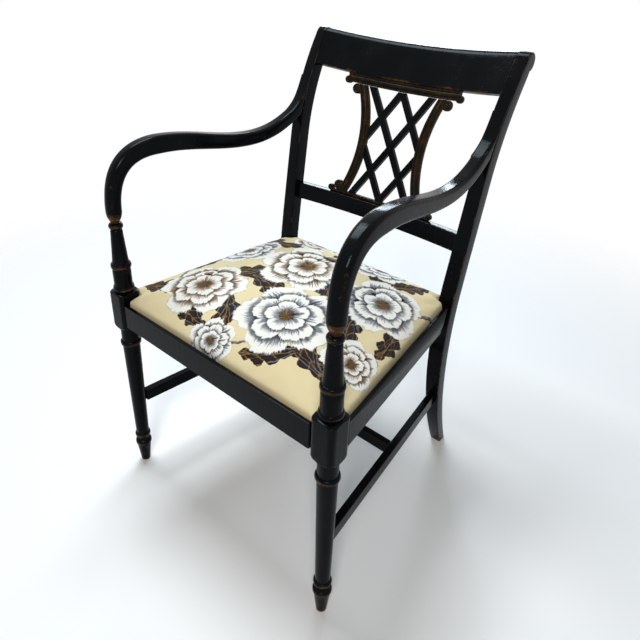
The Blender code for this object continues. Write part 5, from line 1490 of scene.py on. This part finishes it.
LAMPS = (
    # name, place, aim, size, power, colour
    ("overhead", (-0.80, 0.10, 2.5), (0.0, 0.0, 0.4), (1.0, 1.0), 44.0, (0.92, 0.97, 1.0)),
    ("window", (-1.5, 2.5, 1.70), (0.0, 0.0, 0.7), (1.3, 0.5), 42.0, (0.78, 0.90, 1.0)),
    ("front", (1.3, -1.9, 2.1), (0.0, 0.0, 0.42), (0.7, 0.7), 38.0, (1.0, 0.95, 0.88)),
)
FLOOR_Z, FLOOR_RADIUS, FADE_START, FADE_END = -0.0005, 3.2, 0.75, 1.7


def soft_lamp(name, place, aim, size, power, tint):
    """A rectangular lamp that faces its aim."""
    lamp = bpy.data.lights.new(name, "AREA")
    lamp.shape = "RECTANGLE"
    lamp.size, lamp.size_y = size
    lamp.energy = power
    lamp.color = tint
    obj = linked(name, lamp)
    obj.location = place
    obj.rotation_euler = (Vector(aim) - Vector(place)).to_track_quat("-Z", "Y").to_euler()


def backdrop_ray(make):
    """Rays that meet the pale backdrop: the camera's own, and those mirrored by or sent through the object."""
    kinds = ("Is Camera Ray", "Is Glossy Ray", "Is Transmission Ray")
    straight, mirrored, through = [make.add("LightPath", {}, {}, kind) for kind in kinds]
    return straight.most(mirrored).most(through)


def stage_floor():
    """Pale floor that keeps the shadow, fades into the white background and is clear from below."""
    look = studio_look()
    mesh = bpy.data.meshes.new("floor")
    ring = circle(0.0, 0.0, FLOOR_Z, FLOOR_RADIUS, 48)
    mesh.from_pydata(ring, [], [tuple(range(len(ring)))])
    floor = linked("floor", mesh)
    make = Finish("floor")
    x, y = make.plan(make.place())
    solid = make.add("BsdfDiffuse", {}, {"Color": rgba(look.floor)})
    clear = make.add("BsdfTransparent", {}, {})
    below = make.add("NewGeometry", {}, {}, "Backfacing")
    fade = (x * x + y * y).root().step(FADE_START, FADE_END).most(below)
    mix = make.add("MixShader", {}, {0: fade, 1: solid, 2: clear})
    make.add("OutputMaterial", {}, {"Surface": mix})
    mesh.materials.append(make.material)


def stage_light():
    """A white backdrop, a weak fill from all round and three soft lamps."""
    look = studio_look()
    world = bpy.data.worlds.new("studio")
    bpy.context.scene.world = world
    make = Finish("studio", world)
    sky = make.add("Background", {}, {"Color": rgba(look.sky), "Strength": look.fill})
    plain = make.add("Background", {}, {"Color": (1.0, 1.0, 1.0, 1.0), "Strength": 1.0})
    mix = make.add("MixShader", {}, {0: backdrop_ray(make), 1: sky, 2: plain})
    make.add("OutputWorld", {}, {"Surface": mix})
    for lamp in LAMPS:
        soft_lamp(*lamp)


def stage_camera():
    """The camera at the fitted viewing place, and plain colours."""
    look = studio_look()
    lens = bpy.data.cameras.new("camera")
    lens.sensor_width = 36.0
    lens.lens = look.lens
    lens.shift_x, lens.shift_y = look.shift
    lens.clip_start = 0.01
    camera = linked("camera", lens)
    camera.location = look.eye
    camera.rotation_euler = Euler(look.turn, "XYZ")
    bpy.context.scene.camera = camera
    bpy.context.scene.view_settings.view_transform = "Standard"


# Operators, panel and registration

class ARMCHAIR_OT_legs(bpy.types.Operator):
    """Turn the front legs and shape the back posts"""
    bl_idname = "armchair.legs"
    bl_label = "Legs and posts"
    bl_options = {"REGISTER", "UNDO"}

    def execute(self, context):
        for side, word in SIDES:
            front_leg(side, "front_leg_" + word)
            back_post(side, "back_post_" + word)
        return {"FINISHED"}


class ARMCHAIR_OT_arms(bpy.types.Operator):
    """Shape the arms and finish the plugs behind them"""
    bl_idname = "armchair.arms"
    bl_label = "Arms"
    bl_options = {"REGISTER", "UNDO"}

    def execute(self, context):
        for side, word in SIDES:
            arm(side, "arm_" + word)
            eased("arm_plug_" + word, 0.0004, lacquer())
            eased("arm_screw_" + word, 0.0002, old_steel())
        return {"FINISHED"}


class ARMCHAIR_OT_rails(bpy.types.Operator):
    """Shape the crest and mid rails, and ease the seat rails and stretchers"""
    bl_idname = "armchair.rails"
    bl_label = "Rails and stretchers"
    bl_options = {"REGISTER", "UNDO"}

    def execute(self, context):
        crest_rail()
        mid_rail()
        for node in NODES:
            if "seat_rail" in node:
                eased(node, frame_look().edge * 2, lacquer(), 4)
            if "stretcher" in node:
                eased(node, frame_look().edge, lacquer(), 3)
        return {"FINISHED"}


class ARMCHAIR_OT_splat(bpy.types.Operator):
    """Mould the splat's bars and sides and finish its lattice"""
    bl_idname = "armchair.splat"
    bl_label = "Splat"
    bl_options = {"REGISTER", "UNDO"}

    def execute(self, context):
        splat_top_bar()
        splat_base_bar()
        for side, word in SIDES:
            splat_side(side, "splat_side_" + word)
        for node in NODES:
            if node.startswith("lattice"):
                eased(node, 0.0006, lacquer())
        return {"FINISHED"}


class ARMCHAIR_OT_seat_frame(bpy.types.Operator):
    """Finish the boards, blocks and screws and stretch the straps and hessian"""
    bl_idname = "armchair.seat_frame"
    bl_label = "Seat frame"
    bl_options = {"REGISTER", "UNDO"}

    def execute(self, context):
        for node in NODES:
            if node.startswith("seat_board") or node.startswith("corner_block"):
                eased(node, 0.0012, bare_wood())
            if node.startswith("corner_screw"):
                eased(node, 0.0003, old_steel())
        webbing()
        hessian()
        return {"FINISHED"}


class ARMCHAIR_OT_upholstery(bpy.types.Operator):
    """Stuff the seat and cover it in the printed cloth"""
    bl_idname = "armchair.upholstery"
    bl_label = "Upholstery"
    bl_options = {"REGISTER", "UNDO"}

    def execute(self, context):
        seat_upholstery()
        turned_under()
        return {"FINISHED"}


class ARMCHAIR_OT_stage(bpy.types.Operator):
    """Lay the floor, light the studio and stand the camera"""
    bl_idname = "armchair.stage"
    bl_label = "Stage"
    bl_options = {"REGISTER", "UNDO"}

    def execute(self, context):
        stage_floor()
        stage_light()
        stage_camera()
        return {"FINISHED"}


class ARMCHAIR_PT_panel(bpy.types.Panel):
    """Sizes, colours and steps of the armchair"""
    bl_label = "Armchair"
    bl_idname = "ARMCHAIR_PT_panel"
    bl_space_type = "VIEW_3D"
    bl_region_type = "UI"
    bl_category = "Armchair"

    def draw(self, context):
        for group in (frame_look(), seat_look(), studio_look()):
            box = self.layout.box()
            for name in group.__annotations__:
                box.prop(group, name)
        for operator in OPERATORS:
            self.layout.operator(operator.bl_idname)


OPERATORS = (ARMCHAIR_OT_legs, ARMCHAIR_OT_arms, ARMCHAIR_OT_rails, ARMCHAIR_OT_splat, ARMCHAIR_OT_seat_frame,
             ARMCHAIR_OT_upholstery, ARMCHAIR_OT_stage)
GROUPS = (("armchair_frame", FrameLook), ("armchair_seat", SeatLook), ("armchair_studio", StudioLook))


def register():
    for name, group in GROUPS:
        bpy.utils.register_class(group)
        setattr(bpy.types.Scene, name, bpy.props.PointerProperty(type=group))
    for item in OPERATORS + (ARMCHAIR_PT_panel,):
        bpy.utils.register_class(item)


def unregister():
    for item in reversed(OPERATORS + (ARMCHAIR_PT_panel,)):
        bpy.utils.unregister_class(item)
    for name, group in reversed(GROUPS):
        delattr(bpy.types.Scene, name)
        bpy.utils.unregister_class(group)


def main():
    register()
    bpy.ops.armchair.legs()
    bpy.ops.armchair.arms()
    bpy.ops.armchair.rails()
    bpy.ops.armchair.splat()
    bpy.ops.armchair.seat_frame()
    bpy.ops.armchair.upholstery()
    bpy.ops.armchair.stage()


if __name__ == "__main__":
    main()
